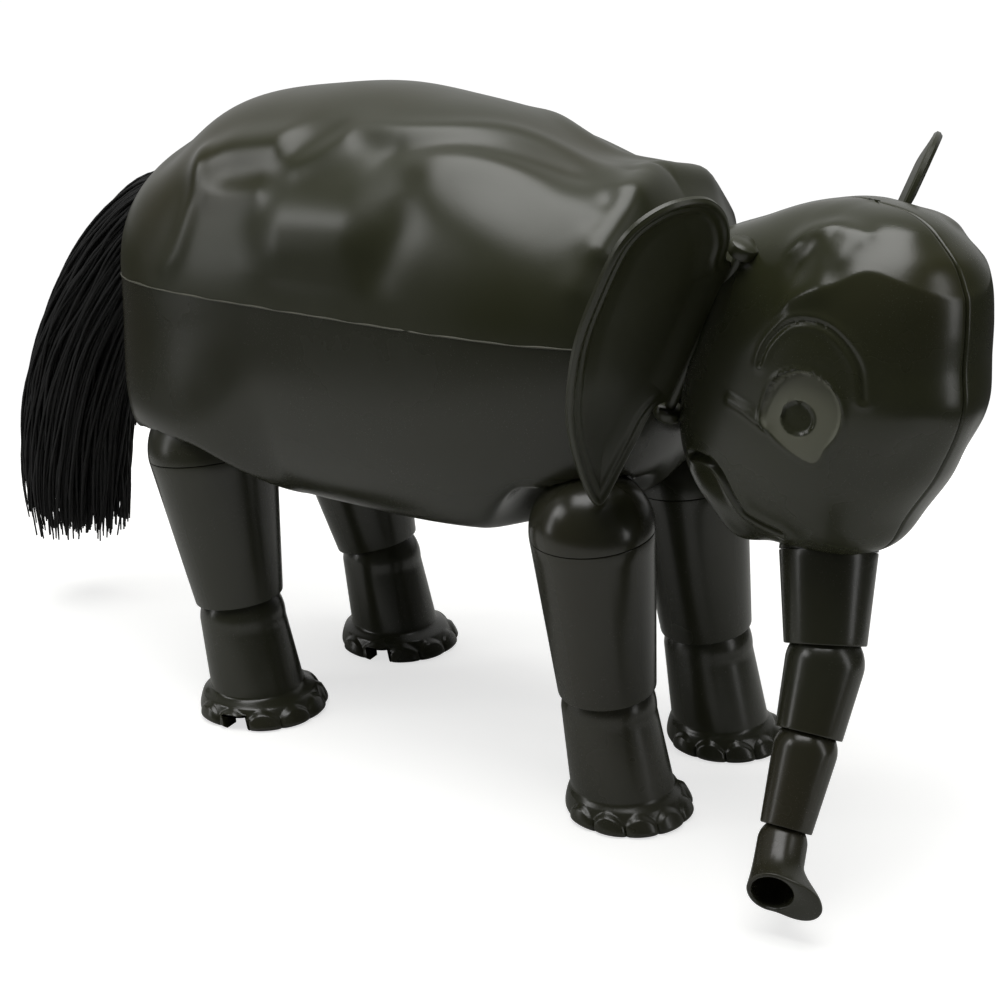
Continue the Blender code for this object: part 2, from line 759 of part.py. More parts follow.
def head_point(direction, inset):
    """Moves a point of the unit ball, poles along Z, onto the head's surface."""
    height = direction.z
    ring = math.hypot(direction.x, direction.y)
    swell = max(1 - abs(height) ** HEAD_POWER, 0.0) ** (1 / HEAD_POWER)
    widest, face, nape, width = curve_through(HEAD_FORM_SHARES, height)
    z = HEAD_MIDDLE_RISE + (HEAD_HALF_HEIGHT - inset) * height
    centre = widest * HEAD_BACK
    if ring < 1e-6:
        return Vector((centre, 0.0, z))
    ahead, across = direction.x / ring, direction.y / ring
    reach, shape = (face * HEAD_FRONT, FACE_POWER) if ahead > 0 else (nape * HEAD_BACK, NAPE_POWER)
    x = centre + (reach - inset) * swell * power(ahead, 2 / shape)
    y = (width * HEAD_HALF_WIDTH - inset) * swell * power(across, 2 / shape)
    return Vector((x, y, z))


def head_form(inset, round_count, rings):
    bm = bmesh.new()
    bmesh.ops.create_uvsphere(bm, u_segments=round_count, v_segments=rings, radius=1)
    for vert in bm.verts:
        vert.co = head_point(vert.co.copy(), inset)
    return bm


TRUNK_AXES = [leaning(lean, heading) for lean, heading in TRUNK_STANCES]
HEAD_TURN = Matrix.Rotation(HEAD_YAW, 3, "Z")
TRUNK_POINTS = [NECK_POINT + HEAD_TURN @ Vector((TRUNK_ROOT_FORWARD, 0.0, -TRUNK_ROOT_DROP))]
for axis, step in zip(TRUNK_AXES, TRUNK_STEPS):
    TRUNK_POINTS.append(TRUNK_POINTS[-1] + step * axis)


def ear_frame(sign, fold=0.0):
    """The hinge line's foot, its direction, the way the ear spreads and its face normal."""
    def side(point):
        return Vector((point[0], sign * point[1], point[2]))

    top, foot, spread = side(EAR_HINGE_TOP), side(EAR_HINGE_FOOT), side(EAR_SPREAD_POINT)
    along = (top - foot).normalized()
    out = spread - foot
    out = (out - out.dot(along) * along).normalized()
    out = Matrix.Rotation(sign * fold, 3, along) @ out
    normal = along.cross(out) * sign * -1
    return foot, along, out, normal, (top - foot).length


def make_head():
    inner_bm = head_form(SHELL_WALL, HEAD_HOLLOW_ROUND, HEAD_HOLLOW_RINGS)
    hollow = put_cutter("head_hollow", finished_mesh("head_hollow", inner_bm), HEAD_FRAME)
    halves = []
    for side, sign in SIDES.items():
        bm = head_form(0.0, HEAD_ROUND, HEAD_RINGS)
        normal = Vector((0, sign, 0))
        cut = bmesh.ops.bisect_plane(
            bm,
            geom=bm.verts[:] + bm.edges[:] + bm.faces[:],
            plane_co=normal * SEAT_GAP / 2,
            plane_no=normal,
            clear_inner=True,
        )
        rim = [item for item in cut["geom_cut"] if isinstance(item, bmesh.types.BMEdge)]
        bmesh.ops.holes_fill(bm, edges=rim, sides=0)
        mesh = finished_mesh("head_%s_half" % side, bm)
        half = put("head_%s_half" % side, mesh, PLASTIC_UPPER, HEAD_FRAME)
        halves.append(half)
        foot, along, _, _, length = ear_frame(sign)
        for end, middle in (("foot", -EAR_LUG_LENGTH / 2), ("top", length + EAR_LUG_LENGTH / 2)):
            lug = rod("ear_lug", EAR_LUG_RADIUS, EAR_LUG_LENGTH)
            place = Matrix.Translation(foot + along * middle) @ turn_to(-along)
            tool = put_cutter("ear_lug_%s_%s" % (end, side), lug, HEAD_FRAME, place)
            boolean(half, tool, "UNION")
    ahead = Matrix.Rotation(math.pi / 2, 4, "Y")
    add_socket("head_neck", hollow, halves, NECK_RADIUS, HEAD_FRAME, ahead)
    root = Matrix.Translation(TRUNK_POINTS[0]) @ turn_to(TRUNK_AXES[0])
    add_socket("head_trunk", hollow, halves, TRUNK_DOME_RADII[0], ROOT, root)
    for half, (side, sign) in zip(halves, SIDES.items()):
        boolean(half, hollow)
        foot, along, _, _, length = ear_frame(sign)
        reach = length + 2 * EAR_LUG_LENGTH + 2 * RUNNING_GAP
        groove = rod("ear_groove", EAR_BAR_RADIUS + RUNNING_GAP, reach)
        place = Matrix.Translation(foot + along * length / 2) @ turn_to(-along)
        boolean(half, put_cutter("ear_groove_" + side, groove, HEAD_FRAME, place))


make_head()


def make_neck():
    ahead = Matrix.Rotation(math.pi / 2, 4, "Y")
    mesh = ball("neck_ball", NECK_RADIUS, LEG_ROUND, SOCKET_RINGS)
    neck = put("neck_ball", mesh, PLASTIC_LOWER, HEAD_FRAME, ahead)
    bore = rod("neck_bore", CORD_HOLE_RADIUS, 4 * NECK_RADIUS)
    drilled = ahead @ Matrix.Rotation(DRILL_TURN, 4, "Z")
    boolean(neck, put_cutter("neck_ball_bore", bore, HEAD_FRAME, drilled))
    reach = HEAD_TURN @ Vector((NECK_RADIUS + RUNNING_GAP + SHELL_WALL + SEAT_GAP + KNOT_RADIUS, 0.0, 0.0))
    ends = [NECK_POINT - reach, NECK_POINT + reach]
    make_cord("neck_cord", ends, ends)


# Ears.
def smooth_outline(shares, per_point):
    """A closed Catmull-Rom curve through the outline's points."""
    count = len(shares)
    points = []
    for i in range(count):
        p0, p1, p2, p3 = (Vector(shares[(i + k) % count]) for k in (-1, 0, 1, 2))
        for j in range(per_point):
            t = j / per_point
            first = 2 * p1 + (p2 - p0) * t
            second = (2 * p0 - 5 * p1 + 4 * p2 - p3) * t * t
            third = (3 * p1 - p0 - 3 * p2 + p3) * t**3
            points.append((first + second + third) / 2)
    return points


def make_ears():
    for side, sign in SIDES.items():
        foot, along, out, normal, length = ear_frame(sign, EAR_FOLDS[side])
        outline = smooth_outline(EAR_OUTLINE_SHARES, EAR_CURVE_STEPS)
        middle = Vector(EAR_MIDDLE_SHARES)
        lowest = min(share[0] for share in EAR_OUTLINE_SHARES)

        def ear_place(flat, depth_share):
            curl = max(EAR_CURL_START_SHARE - flat.x, 0.0) / (EAR_CURL_START_SHARE - lowest)
            lift = EAR_CURL * curl * curl - EAR_CUP * depth_share
            return foot + along * flat.x * EAR_LENGTH + out * flat.y * EAR_WIDTH + normal * lift

        bm = bmesh.new()
        front_rings, back_rings = [], []
        for scale, depth in EAR_DISH_SHARES:
            ring = []
            for point in outline:
                ring.append(bm.verts.new(ear_place(middle + (point - middle) * scale, depth)))
            front_rings.append(ring)
        for ring, after in zip(front_rings, front_rings[1:]):
            bridge(bm, ring, after)
        hub = bm.verts.new(ear_place(middle, 1.0))
        last = front_rings[-1]
        for i in range(len(last)):
            bm.faces.new((last[i], last[(i + 1) % len(last)], hub))
        bmesh.ops.recalc_face_normals(bm, faces=bm.faces)
        if sum((face.normal for face in bm.faces), Vector()).dot(normal) < 0:
            bmesh.ops.reverse_faces(bm, faces=bm.faces)
        mesh = bpy.data.meshes.new("ear_" + side)
        bm.to_mesh(mesh)
        bm.free()
        mesh.shade_smooth()
        ear = put("ear_" + side, mesh, PLASTIC_UPPER, HEAD_FRAME)
        wall = ear.modifiers.new("wall", "SOLIDIFY")
        wall.thickness = EAR_WALL
        wall.offset = -1
        bar = rod("ear_bar", EAR_BAR_RADIUS, length + 2 * EAR_LUG_LENGTH - 2 * SEAT_GAP)
        place = Matrix.Translation(foot + along * length / 2) @ turn_to(-along)
        boolean(ear, put_cutter("ear_bar_" + side, bar, HEAD_FRAME, place), "UNION")


# Trunk.
def trunk_cap_mesh():
    radius = TRUNK_DOME_RADII[0]
    hole_angle = math.acos(CORD_HOLE_RADIUS / radius)
    inner = radius - TRUNK_WALL
    spigot = radius - TRUNK_WALL - RUNNING_GAP
    taper = (radius - TRUNK_RIM_RADII[0]) / TRUNK_STEPS[0]
    spigot_foot = spigot - taper * TRUNK_SPIGOT
    bore = spigot_foot - TRUNK_WALL
    profile = arc(radius, hole_angle, 0.0, DOME_STEPS)
    profile += [(spigot, 0.0), (spigot_foot, -TRUNK_SPIGOT), (bore, -TRUNK_SPIGOT)]
    profile += arc(inner, math.acos(bore / inner), math.acos(CORD_HOLE_RADIUS / inner), CUP_STEPS)
    return turned("trunk_cap", profile, TRUNK_ROUND)


def trunk_tube_mesh(index):
    """A tapered tube: the first is open at both ends, the others have a domed top."""
    top = TRUNK_DOME_RADII[index]
    rim = TRUNK_RIM_RADII[index]
    bearing = rim_height(TRUNK_DOME_RADII[index + 1], rim - TRUNK_WALL, TRUNK_ROUND)
    foot = -(TRUNK_STEPS[index] - bearing)
    if index == 0:
        profile = [(top, -SEAT_GAP), (rim, foot)]
        profile += [(rim - TRUNK_WALL, foot), (top - TRUNK_WALL, -SEAT_GAP)]
        return turned("trunk_tube_1", profile, TRUNK_ROUND)
    inner = top - TRUNK_WALL
    profile = arc(top, math.acos(CORD_HOLE_RADIUS / top), 0.0, DOME_STEPS)
    profile += [(rim, foot), (rim - TRUNK_WALL, foot)]
    profile += arc(inner, 0.0, math.acos(CORD_HOLE_RADIUS / inner), CUP_STEPS)
    return turned("trunk_tube_%d" % (index + 1), profile, TRUNK_ROUND)


def tip_mesh():
    """The flared end: a domed top, a bent tube and a lobe at one side of its mouth."""
    radius = TRUNK_DOME_RADII[3]
    rings = [
        ring_points(TRUNK_ROUND, Vector((0, 0, z)), lambda angle, r=r: r)
        for r, z in arc(radius, math.acos(CORD_HOLE_RADIUS / radius), 0.0, DOME_STEPS)
    ]

    def tilt_at(share):
        return TIP_BEND * share * share

    def centre_at(share):
        aside = math.sin(tilt_at(share) / 2) * TIP_LENGTH * share
        return Vector((0.0, aside, -TIP_LENGTH * share))

    def section(share, size):
        tilt = Matrix.Rotation(tilt_at(share), 3, "X")
        grown = smooth_step(TIP_LOBE_START_SHARE, 1.0, share)
        ring = []
        for i in range(TRUNK_ROUND):
            angle = 2 * math.pi * i / TRUNK_ROUND
            lobe = max(math.cos(angle - TIP_LOBE_AZIMUTH), 0.0) ** 3 * grown
            r = size + lobe * TIP_LOBE
            point = Vector((r * math.cos(angle), r * math.sin(angle), -lobe * TIP_LOBE_DIP))
            ring.append(tilt @ point + centre_at(share))
        return ring

    for share, flare in TIP_STATION_SHARES:
        rings.append(section(share, radius + flare * (TIP_MOUTH_RADIUS - radius)))
    bore = TIP_MOUTH_RADIUS - TRUNK_WALL
    mouth_tilt = Matrix.Rotation(TIP_BEND, 3, "X")
    rings.append(ring_points(TRUNK_ROUND, centre_at(1.0), lambda angle: bore, mouth_tilt))
    inner = radius - TRUNK_WALL
    hollow = Vector((0.0, 0.0, -TIP_LENGTH * TIP_HOLLOW_SHARE))
    rings.append(ring_points(TRUNK_ROUND, hollow, lambda angle: inner))
    rings += [
        ring_points(TRUNK_ROUND, Vector((0, 0, z)), lambda angle, r=r: r)
        for r, z in arc(inner, 0.0, math.acos(CORD_HOLE_RADIUS / inner), CUP_STEPS + 1)
    ]
    return loft("trunk_tip", rings)


def make_trunk():
    frames = []
    for index, (point, axis) in enumerate(zip(TRUNK_POINTS, TRUNK_AXES)):
        side = axis.cross(Vector((0, 0, 1))).normalized()
        front = side.cross(axis).normalized()
        turn = Matrix((side, front, -axis)).transposed().to_4x4()
        frames.append(empty("trunk_joint_%d" % (index + 1), Matrix.Translation(point) @ turn, ROOT))
    cap = put("trunk_cap", trunk_cap_mesh(), PLASTIC_LOWER, frames[0])
    add_screw(cap, TRUNK_ROUND)
    for index in range(len(TRUNK_STEPS)):
        tube = put("trunk_tube_%d" % (index + 1), trunk_tube_mesh(index), PLASTIC_LOWER, frames[index])
        add_screw(tube, TRUNK_ROUND)
    put("trunk_tip", tip_mesh(), PLASTIC_LOWER, frames[3])
    lift = TRUNK_DOME_RADII[0] + RUNNING_GAP + SHELL_WALL + SEAT_GAP + KNOT_RADIUS
    top_knot = TRUNK_POINTS[0] - lift * TRUNK_AXES[0]
    route = [top_knot, TRUNK_POINTS[0]]
    for point, axis, radius in list(zip(TRUNK_POINTS, TRUNK_AXES, TRUNK_DOME_RADII))[1:]:
        route.append(point - axis * (radius + TRUNK_WALL))
        route.append(point - axis * (radius - 2 * TRUNK_WALL))
    drop = TRUNK_DOME_RADII[3] - TRUNK_WALL - KNOT_RADIUS - SEAT_GAP
    foot_knot = TRUNK_POINTS[3] - TRUNK_AXES[3] * drop
    route[-1] = foot_knot
    route.append(TRUNK_POINTS[3] + TRUNK_AXES[3] * STRING_END)
    make_cord("trunk_cord", route, [top_knot, foot_knot])


# Tail.
def rump_x(rise):
    """Where the back's middle line comes down to this height above the seam."""
    low, high = 0.5, 0.99999
    for _ in range(40):
        middle = (low + high) / 2
        point = body_point(Vector((-middle, 0.0, math.sqrt(1 - middle * middle))), 0.0)
        if point.z > rise:
            low = middle
        else:
            high = middle
    return point.x


def make_tail():
    root = Vector((BODY_CENTRE_X + rump_x(TAIL_RISE), 0.0, SEAM_HEIGHT + TAIL_RISE))
    hole = rod("tail_hole", TAIL_HOLE_RADIUS, TAIL_HOLE_REACH)
    lay = Matrix.Translation(root) @ Matrix.Rotation(math.pi / 2, 4, "Y")
    boolean(UPPER_SHELL, put_cutter("tail_hole", hole, ROOT, lay))
    inner_end = root + Vector((TAIL_INNER_REACH, 0.0, 0.0))
    points = [inner_end, root - Vector((SHELL_WALL, 0.0, 0.0))]
    radii = [TAIL_NECK_RADIUS, TAIL_NECK_RADIUS]
    for back, fall, girth in TAIL_SHARES:
        points.append(root + Vector((-back * TAIL_BACK, 0.0, -fall * TAIL_FALL)))
        radii.append(girth * TAIL_RADIUS)
    put("tail_hank", wire("tail_hank", points, radii, HANK_RESOLUTION), YARN, ROOT)
    knot = inner_end + Vector((TAIL_KNOT_RADIUS + SEAT_GAP, 0.0, 0.0))
    bead = ball("tail_knot", TAIL_KNOT_RADIUS, DISC_ROUND, KNOT_ROUND)
    put("tail_knot", bead, YARN, ROOT, Matrix.Translation(knot))


make_neck()
make_ears()
make_trunk()
make_tail()
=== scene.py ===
"""The strung toy elephant, dressed: glossy moulded plastic with its folds, rims and face,
and a tail of black yarn, under a broad soft light on a pale floor.

Metres, +Z up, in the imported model's frame. Surfaces are fine grids over the same forms
as the model's, with the moulded relief laid along their normals.
"""

import json
import math
import random

import bmesh
import bpy
import numpy as np
from mathutils import Matrix, Vector


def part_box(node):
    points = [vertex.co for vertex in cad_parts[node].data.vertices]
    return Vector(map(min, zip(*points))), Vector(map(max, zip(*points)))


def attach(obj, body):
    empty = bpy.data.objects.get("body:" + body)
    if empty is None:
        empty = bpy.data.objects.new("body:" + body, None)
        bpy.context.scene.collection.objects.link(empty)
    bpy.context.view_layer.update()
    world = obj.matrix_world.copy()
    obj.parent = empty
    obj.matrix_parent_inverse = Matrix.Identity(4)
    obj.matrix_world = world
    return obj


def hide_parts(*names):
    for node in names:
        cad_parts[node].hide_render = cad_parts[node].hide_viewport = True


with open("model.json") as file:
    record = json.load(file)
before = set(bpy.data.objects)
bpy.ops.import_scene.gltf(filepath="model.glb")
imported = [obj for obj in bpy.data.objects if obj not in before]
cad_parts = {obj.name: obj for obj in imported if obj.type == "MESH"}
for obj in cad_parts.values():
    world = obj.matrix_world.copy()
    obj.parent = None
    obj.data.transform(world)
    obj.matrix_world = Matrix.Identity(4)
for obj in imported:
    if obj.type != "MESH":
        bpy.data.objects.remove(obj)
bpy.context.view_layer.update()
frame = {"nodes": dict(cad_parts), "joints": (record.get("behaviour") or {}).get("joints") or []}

JOINTS = {joint["name"]: joint for joint in frame["joints"]}
SIDES = {"right": -1, "left": 1}

# Clearances and walls, as on the model.
RUNNING_GAP = 0.0004
SEAT_GAP = 0.0003
SHELL_WALL = 0.0024
TUBE_WALL = 0.0018
TRUNK_WALL = 0.0015
RIM_ROUNDING = 0.0004
FLASH_RADIUS = 0.00030
FLASH_NICK_X = 0.0395
FLASH_NICK_WIDTH = 0.0012

# Body form.
BELLY_DROP = 0.0830
FRONT_HIP_DROP = 0.0520
REAR_HIP_DROP = 0.0565
HIP_FLAT_RADIUS = 0.0225
HIP_FADE_RADIUS = 0.0440
HAUNCH_SWELL = 0.0032
HAUNCH_REACH = 0.0480
BACK_RISE = 0.0709
PLAN_POWER = 4.0
TOP_POWER = 2.25
BELLY_POWER = 3.0
HAUNCH_POWER = 6.0
FRONT_BELLY_POWER = 2.8
REAR_BELLY_POWER = 4.0
BLEND_POWER = 10.0
BACK_PROFILE_SHARES = (
    (-1.00, 0.62),
    (-0.89, 0.75),
    (-0.60, 0.92),
    (-0.30, 0.98),
    (-0.08, 1.00),
    (0.14, 0.96),
    (0.35, 0.90),
    (0.62, 0.76),
    (0.75, 0.74),
    (0.87, 0.76),
    (1.00, 0.66),
)

# Head form.
HEAD_YAW = math.radians(-23.0)
HEAD_MIDDLE_RISE = 0.0189
HEAD_HALF_HEIGHT = 0.0545
HEAD_FRONT = 0.0573
HEAD_BACK = 0.0320
HEAD_HALF_WIDTH = 0.0385
HEAD_POWER = 2.6
FACE_POWER = 2.0
NAPE_POWER = 3.1
HEAD_FORM_SHARES = (
    (-1.00, 0.80, 1.12, 0.75, 0.80),
    (-0.88, 0.82, 1.03, 0.80, 0.86),
    (-0.65, 0.86, 0.90, 0.90, 0.95),
    (-0.34, 0.92, 0.95, 1.00, 1.00),
    (0.00, 1.02, 0.99, 1.00, 1.00),
    (0.24, 1.14, 0.91, 0.93, 1.00),
    (0.44, 1.26, 0.87, 1.06, 0.98),
    (0.61, 1.38, 0.84, 1.50, 0.96),
    (0.76, 1.46, 0.82, 1.78, 0.95),
    (0.88, 1.52, 0.77, 1.46, 0.92),
    (1.00, 1.56, 0.80, 1.30, 0.90),
)

# Ears, in the head's frame.
EAR_HINGE_TOP = (0.0294, 0.0308, 0.0575)
EAR_HINGE_FOOT = (0.0024, 0.0332, 0.0063)
EAR_SPREAD_POINT = (0.0031, 0.0635, 0.0075)
EAR_FOLDS = {"right": 0.0, "left": math.radians(38.0)}
EAR_LENGTH = 0.1190
EAR_WIDTH = 0.0493
EAR_WALL = 0.0020
EAR_CUP = 0.0015
EAR_CURL = 0.0080
EAR_CURL_START_SHARE = 0.08
EAR_BAR_RADIUS = 0.0018
EAR_LUG_RADIUS = 0.0045
EAR_LUG_LENGTH = 0.0040
EAR_MIDDLE_SHARES = (0.20, 0.52)
EAR_OUTLINE_SHARES = (
    (0.660, 0.49),
    (0.640, 0.76),
    (0.555, 0.95),
    (0.390, 0.99),
    (0.240, 0.97),
    (0.080, 0.87),
    (-0.030, 0.77),
    (-0.130, 0.65),
    (-0.215, 0.53),
    (-0.262, 0.43),
    (-0.240, 0.34),
    (-0.110, 0.21),
    (-0.030, 0.16),
    (0.008, 0.11),
    (0.040, 0.02),
    (0.220, 0.02),
    (0.435, 0.02),
    (0.478, 0.10),
    (0.545, 0.15),
    (0.620, 0.29),
)

# Legs.
CAP_RADII = {"front": 0.0209, "rear": 0.0242}
CAP_WALL = 0.0020
CAP_SPIGOT = 0.0040
CORD_HOLE_RADIUS = 0.0018
CORD_RADIUS = 0.0011
CORD_STEP = 0.0010
KNOT_RADIUS = 0.0032
STRING_END = 0.0060
UPPER_LENGTH = 0.0592
UPPER_FOOT_RADIUS = 0.0169
KNEE_RADIUS = 0.0165
LOWER_LEAN = math.radians(12.5)
ANKLE_HEIGHT = 0.0105
ANKLE_RADIUS = 0.0180
# How far each foot reaches ahead, back and sideways from its middle.
FOOT_REACHES = {"front": (0.0222, 0.0208, 0.0215), "rear": (0.0247, 0.0237, 0.0238)}
TOE_SIZE = 0.0017
TOE_STEP = math.radians(30.0)
TOES_EACH_SIDE = 4
SOLE_STEP = 0.0003
NOTCH_WIDTH = 0.0090
NOTCH_HEIGHT = 0.0058
NOTCH_AZIMUTH = math.radians(-72.0)

# Neck and trunk.
NECK_RADIUS = 0.0190
TRUNK_DOME_RADII = (0.0152, 0.0122, 0.0099, 0.0076)
TRUNK_RIM_RADII = (0.0127, 0.0104, 0.0080)
TRUNK_SPIGOT = 0.0030
TIP_LEAN = math.radians(52.0)
TIP_HEADING = math.radians(-74.0)
TIP_LENGTH = 0.0174
TIP_MOUTH_RADIUS = 0.0078
TIP_BEND = math.radians(24.0)
TIP_LOBE = 0.0075
TIP_LOBE_DIP = 0.0020
TIP_LOBE_AZIMUTH = math.radians(190.0)
TIP_LOBE_START_SHARE = 0.35
TIP_HOLLOW_SHARE = 0.40

# Tail.
TAIL_RADIUS = 0.0245
TAIL_BACK = 0.0790
TAIL_FALL = 0.1560

# Camera, as the photograph was taken, and the light.
CAMERA_PLACE = (0.35375, -0.45871, 0.28660)
CAMERA_YAW = math.radians(34.305)
CAMERA_PITCH = math.radians(18.998)
CAMERA_LENS = 59.1
FLOOR_REACH = 25.0
FLOOR_LIFT = 0.66
PAPER_EDGE = (0.43, 0.50)
PAPER_COLOUR = (0.56, 0.56, 0.54, 1.0)
TABLE_COLOUR = (0.05, 0.05, 0.05, 1.0)
ROOM_LEVEL = 0.05
BACKDROP_LEVEL = 0.54
BACKDROP_SIDE = (-0.54, 0.78, 0.31)
STAGE_MIDDLE = (0.0, 0.0, 0.10)
# Where the floor starts to brighten for the camera, and where it is white.
FLOOR_LIFT_REACH = (0.20, 0.46)
# How squarely a direction faces the backdrop where its light starts and is full.
BACKDROP_EDGE = (0.35, 0.85)
# Each lamp's place, width, depth and power.
LAMPS = {
    "overhead": ((0.05, -0.15, 1.20), 1.0, 0.9, 13.0),
    "left_strip": ((-0.85, -0.75, 0.45), 0.18, 0.9, 1.6),
    "side_panel": ((-0.60, -0.70, 0.70), 0.36, 0.30, 1.1),
    "right_strip": ((1.05, 0.05, 0.45), 0.18, 0.9, 1.4),
}

# How finely outlines are drawn before they are sampled evenly, and how meshes are finished.
DENSE_ROUND = 721
DENSE_ALONG = 2001
MERGE_DISTANCE = 0.00002
SHARP_ANGLE = math.radians(50)

# Plastic: noise per metre, the bump's strength and depth, and the rubbed dust.
CLOUD_SCALE = 22.0
FLOW_SCALE = 9.0
SPECK_SCALE = 2600.0
GRAIN_SCALE = 1400.0
PEEL_SCALE = 320.0
GRAIN_SHARE = 0.75
PEEL_SHARE = 0.9
PLASTIC_BUMP = (0.30, 0.00006)
PLASTIC_IOR = 1.50
DUST_SHARE = 0.25
DUST_COLOUR = (0.16, 0.16, 0.13, 1.0)
FIBRE_SCALE = (900.0, 900.0, 160.0)
FIBRE_BUMP = (0.6, 0.0002)
# Painted highlight inside the eye: the name of each point's distance to its edge, and its look.
EYE_HIGHLIGHT_GAP = "eye_gap"
# Paler colour painted inside the eye as a highlight on its upturned face.
EYE_PAINTED_HIGHLIGHT = (0.135, 0.138, 0.100, 1.0)
PAINTED_HIGHLIGHT_EDGE = -0.0004
MARK_ROUGHNESS = 0.15


# Shared mathematics.
def pivot(name):
    return Vector(JOINTS[name]["pos_m"])


def curve_through(table, at):
    """Smooth values from rows of (place, value, ...), Catmull-Rom slopes, for an array."""
    table = np.asarray(table, float)
    places = table[:, 0]
    at = np.clip(np.asarray(at, float), places[0], places[-1])
    i = np.clip(np.searchsorted(places, at, side="right") - 1, 0, len(places) - 2)
    span = places[i + 1] - places[i]
    t = (at - places[i]) / span
    before = np.maximum(np.arange(len(places)) - 1, 0)
    after = np.minimum(np.arange(len(places)) + 1, len(places) - 1)
    columns = []
    for column in range(1, table.shape[1]):
        value = table[:, column]
        slope = (value[after] - value[before]) / (places[after] - places[before])
        y0, y1 = value[i], value[i + 1]
        m0, m1 = slope[i] * span, slope[i + 1] * span
        a = 2 * y0 - 2 * y1 + m0 + m1
        b = -3 * y0 + 3 * y1 - 2 * m0 - m1
        columns.append(((a * t + b) * t + m0) * t + y0)
    return columns


def smooth_step(low, high, value):
    share = np.clip((value - low) / (high - low), 0.0, 1.0)
    return share * share * (3 - 2 * share)


def even_places(points, count):
    """Where to sample a dense line of points so that the samples are evenly spaced."""
    steps = np.linalg.norm(np.diff(points, axis=0), axis=1)
    length = np.concatenate([[0.0], np.cumsum(steps)])
    wanted = np.linspace(0.0, length[-1], count)
    return np.interp(wanted, length, np.arange(len(points)))


def even_row(points, count):
    """A line of points sampled anew at even spacing."""
    places = even_places(points, count)
    index = np.arange(len(points))
    return np.stack([np.interp(places, index, points[:, k]) for k in range(3)], axis=1)


def segment_distance(points, line, columns):
    """Distance of each point to a line of points, seen in the given coordinates."""
    flat = points[..., columns]
    best = np.full(flat.shape[:-1], 1e9)
    for start, end in zip(line[:-1], line[1:]):
        start, end = np.asarray(start, float), np.asarray(end, float)
        run = end - start
        share = np.clip(((flat - start) @ run) / max(run @ run, 1e-18), 0.0, 1.0)
        gap = np.linalg.norm(flat - (start + share[..., None] * run), axis=-1)
        best = np.minimum(best, gap)
    return best


def spline_line(points, per_point=8, closed=False):
    """A Catmull-Rom line through a few points."""
    points = [np.asarray(point, float) for point in points]
    count = len(points)
    line = []
    for i in range(count if closed else count - 1):
        if closed:
            p0, p1, p2, p3 = (points[(i + k) % count] for k in (-1, 0, 1, 2))
        else:
            p0, p1, p2, p3 = (points[min(max(i + k, 0), count - 1)] for k in (-1, 0, 1, 2))
        for j in range(per_point):
            t = j / per_point
            a = 2 * p1 + (p2 - p0) * t
            b = (2 * p0 - 5 * p1 + 4 * p2 - p3) * t * t
            c = (3 * p1 - p0 - 3 * p2 + p3) * t**3
            line.append(0.5 * (a + b + c))
    if not closed:
        line.append(points[-1])
    return np.array(line)


def grid_normals(grid, round_closed=False):
    along = np.gradient(grid, axis=0)
    if round_closed:
        around = (np.roll(grid, -1, axis=1) - np.roll(grid, 1, axis=1)) / 2
    else:
        around = np.gradient(grid, axis=1)
    normal = np.cross(along, around)
    size = np.linalg.norm(normal, axis=-1, keepdims=True)
    return normal / np.maximum(size, 1e-12)


def carved(grid, centre, inward, radius):
    """Pushes what lies inside a ball-shaped seat back onto the seat's wall."""
    offset = grid - np.asarray(centre)
    inward = np.asarray(inward, float)
    reach = offset @ inward
    inside = (offset**2).sum(axis=-1) < radius**2
    push = -reach + np.sqrt(np.maximum(reach**2 - (offset**2).sum(axis=-1) + radius**2, 0.0))
    return grid + np.where(inside, push, 0.0)[..., None] * inward


def ridge(gap, width):
    """A smooth ridge's height, 1 at its line and falling away over the width."""
    return np.exp(-((gap / width) ** 2))


# Building pieces.
def linked(name, data):
    made = bpy.data.objects.new(name, data)
    bpy.context.scene.collection.objects.link(made)
    return made


def round_curve(name, radius, resolution, caps=True):
    """An empty curve whose lines become round rods of the given radius."""
    curve = bpy.data.curves.new(name, "CURVE")
    curve.dimensions = "3D"
    curve.bevel_depth = radius
    curve.bevel_resolution = resolution
    curve.use_fill_caps = caps
    return curve


def add_piece(piece, body, material, nodes, matrix=None):
    if matrix is not None:
        piece.data.transform(matrix)
    piece.data.materials.clear()
    piece.data.materials.append(material)
    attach(piece, body)
    if nodes:
        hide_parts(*nodes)
    return piece


def mesh_object(name, vertices, faces, smooth=True, merge=True):
    mesh = bpy.data.meshes.new(name)
    mesh.from_pydata([tuple(v) for v in vertices], [], faces)
    mesh.update()
    made = linked(name, mesh)
    if merge:
        bm = bmesh.new()
        bm.from_mesh(mesh)
        bmesh.ops.remove_doubles(bm, verts=bm.verts, dist=MERGE_DISTANCE)
        bmesh.ops.recalc_face_normals(bm, faces=bm.faces)
        bm.to_mesh(mesh)
        bm.free()
    if smooth:
        mesh.shade_smooth()
        mesh.set_sharp_from_angle(angle=SHARP_ANGLE)
    return made


def grid_faces(rows, columns, round_closed, offset=0, loop_closed=False):
    faces = []
    for i in range(rows if loop_closed else rows - 1):
        k = (i + 1) % rows
        for j in range(columns if round_closed else columns - 1):
            m = (j + 1) % columns
            corners = (i * columns + j, i * columns + m, k * columns + m, k * columns + j)
            faces.append(tuple(offset + corner for corner in corners))
    return faces


def grid_object(name, grids, round_closed=False, loop_closed=False):
    """One object from one or more grids of points."""
    vertices, faces = [], []
    for grid in grids:
        rows, columns = grid.shape[:2]
        faces += grid_faces(rows, columns, round_closed, len(vertices), loop_closed)
        vertices += list(grid.reshape(-1, 3))
    return mesh_object(name, vertices, faces)


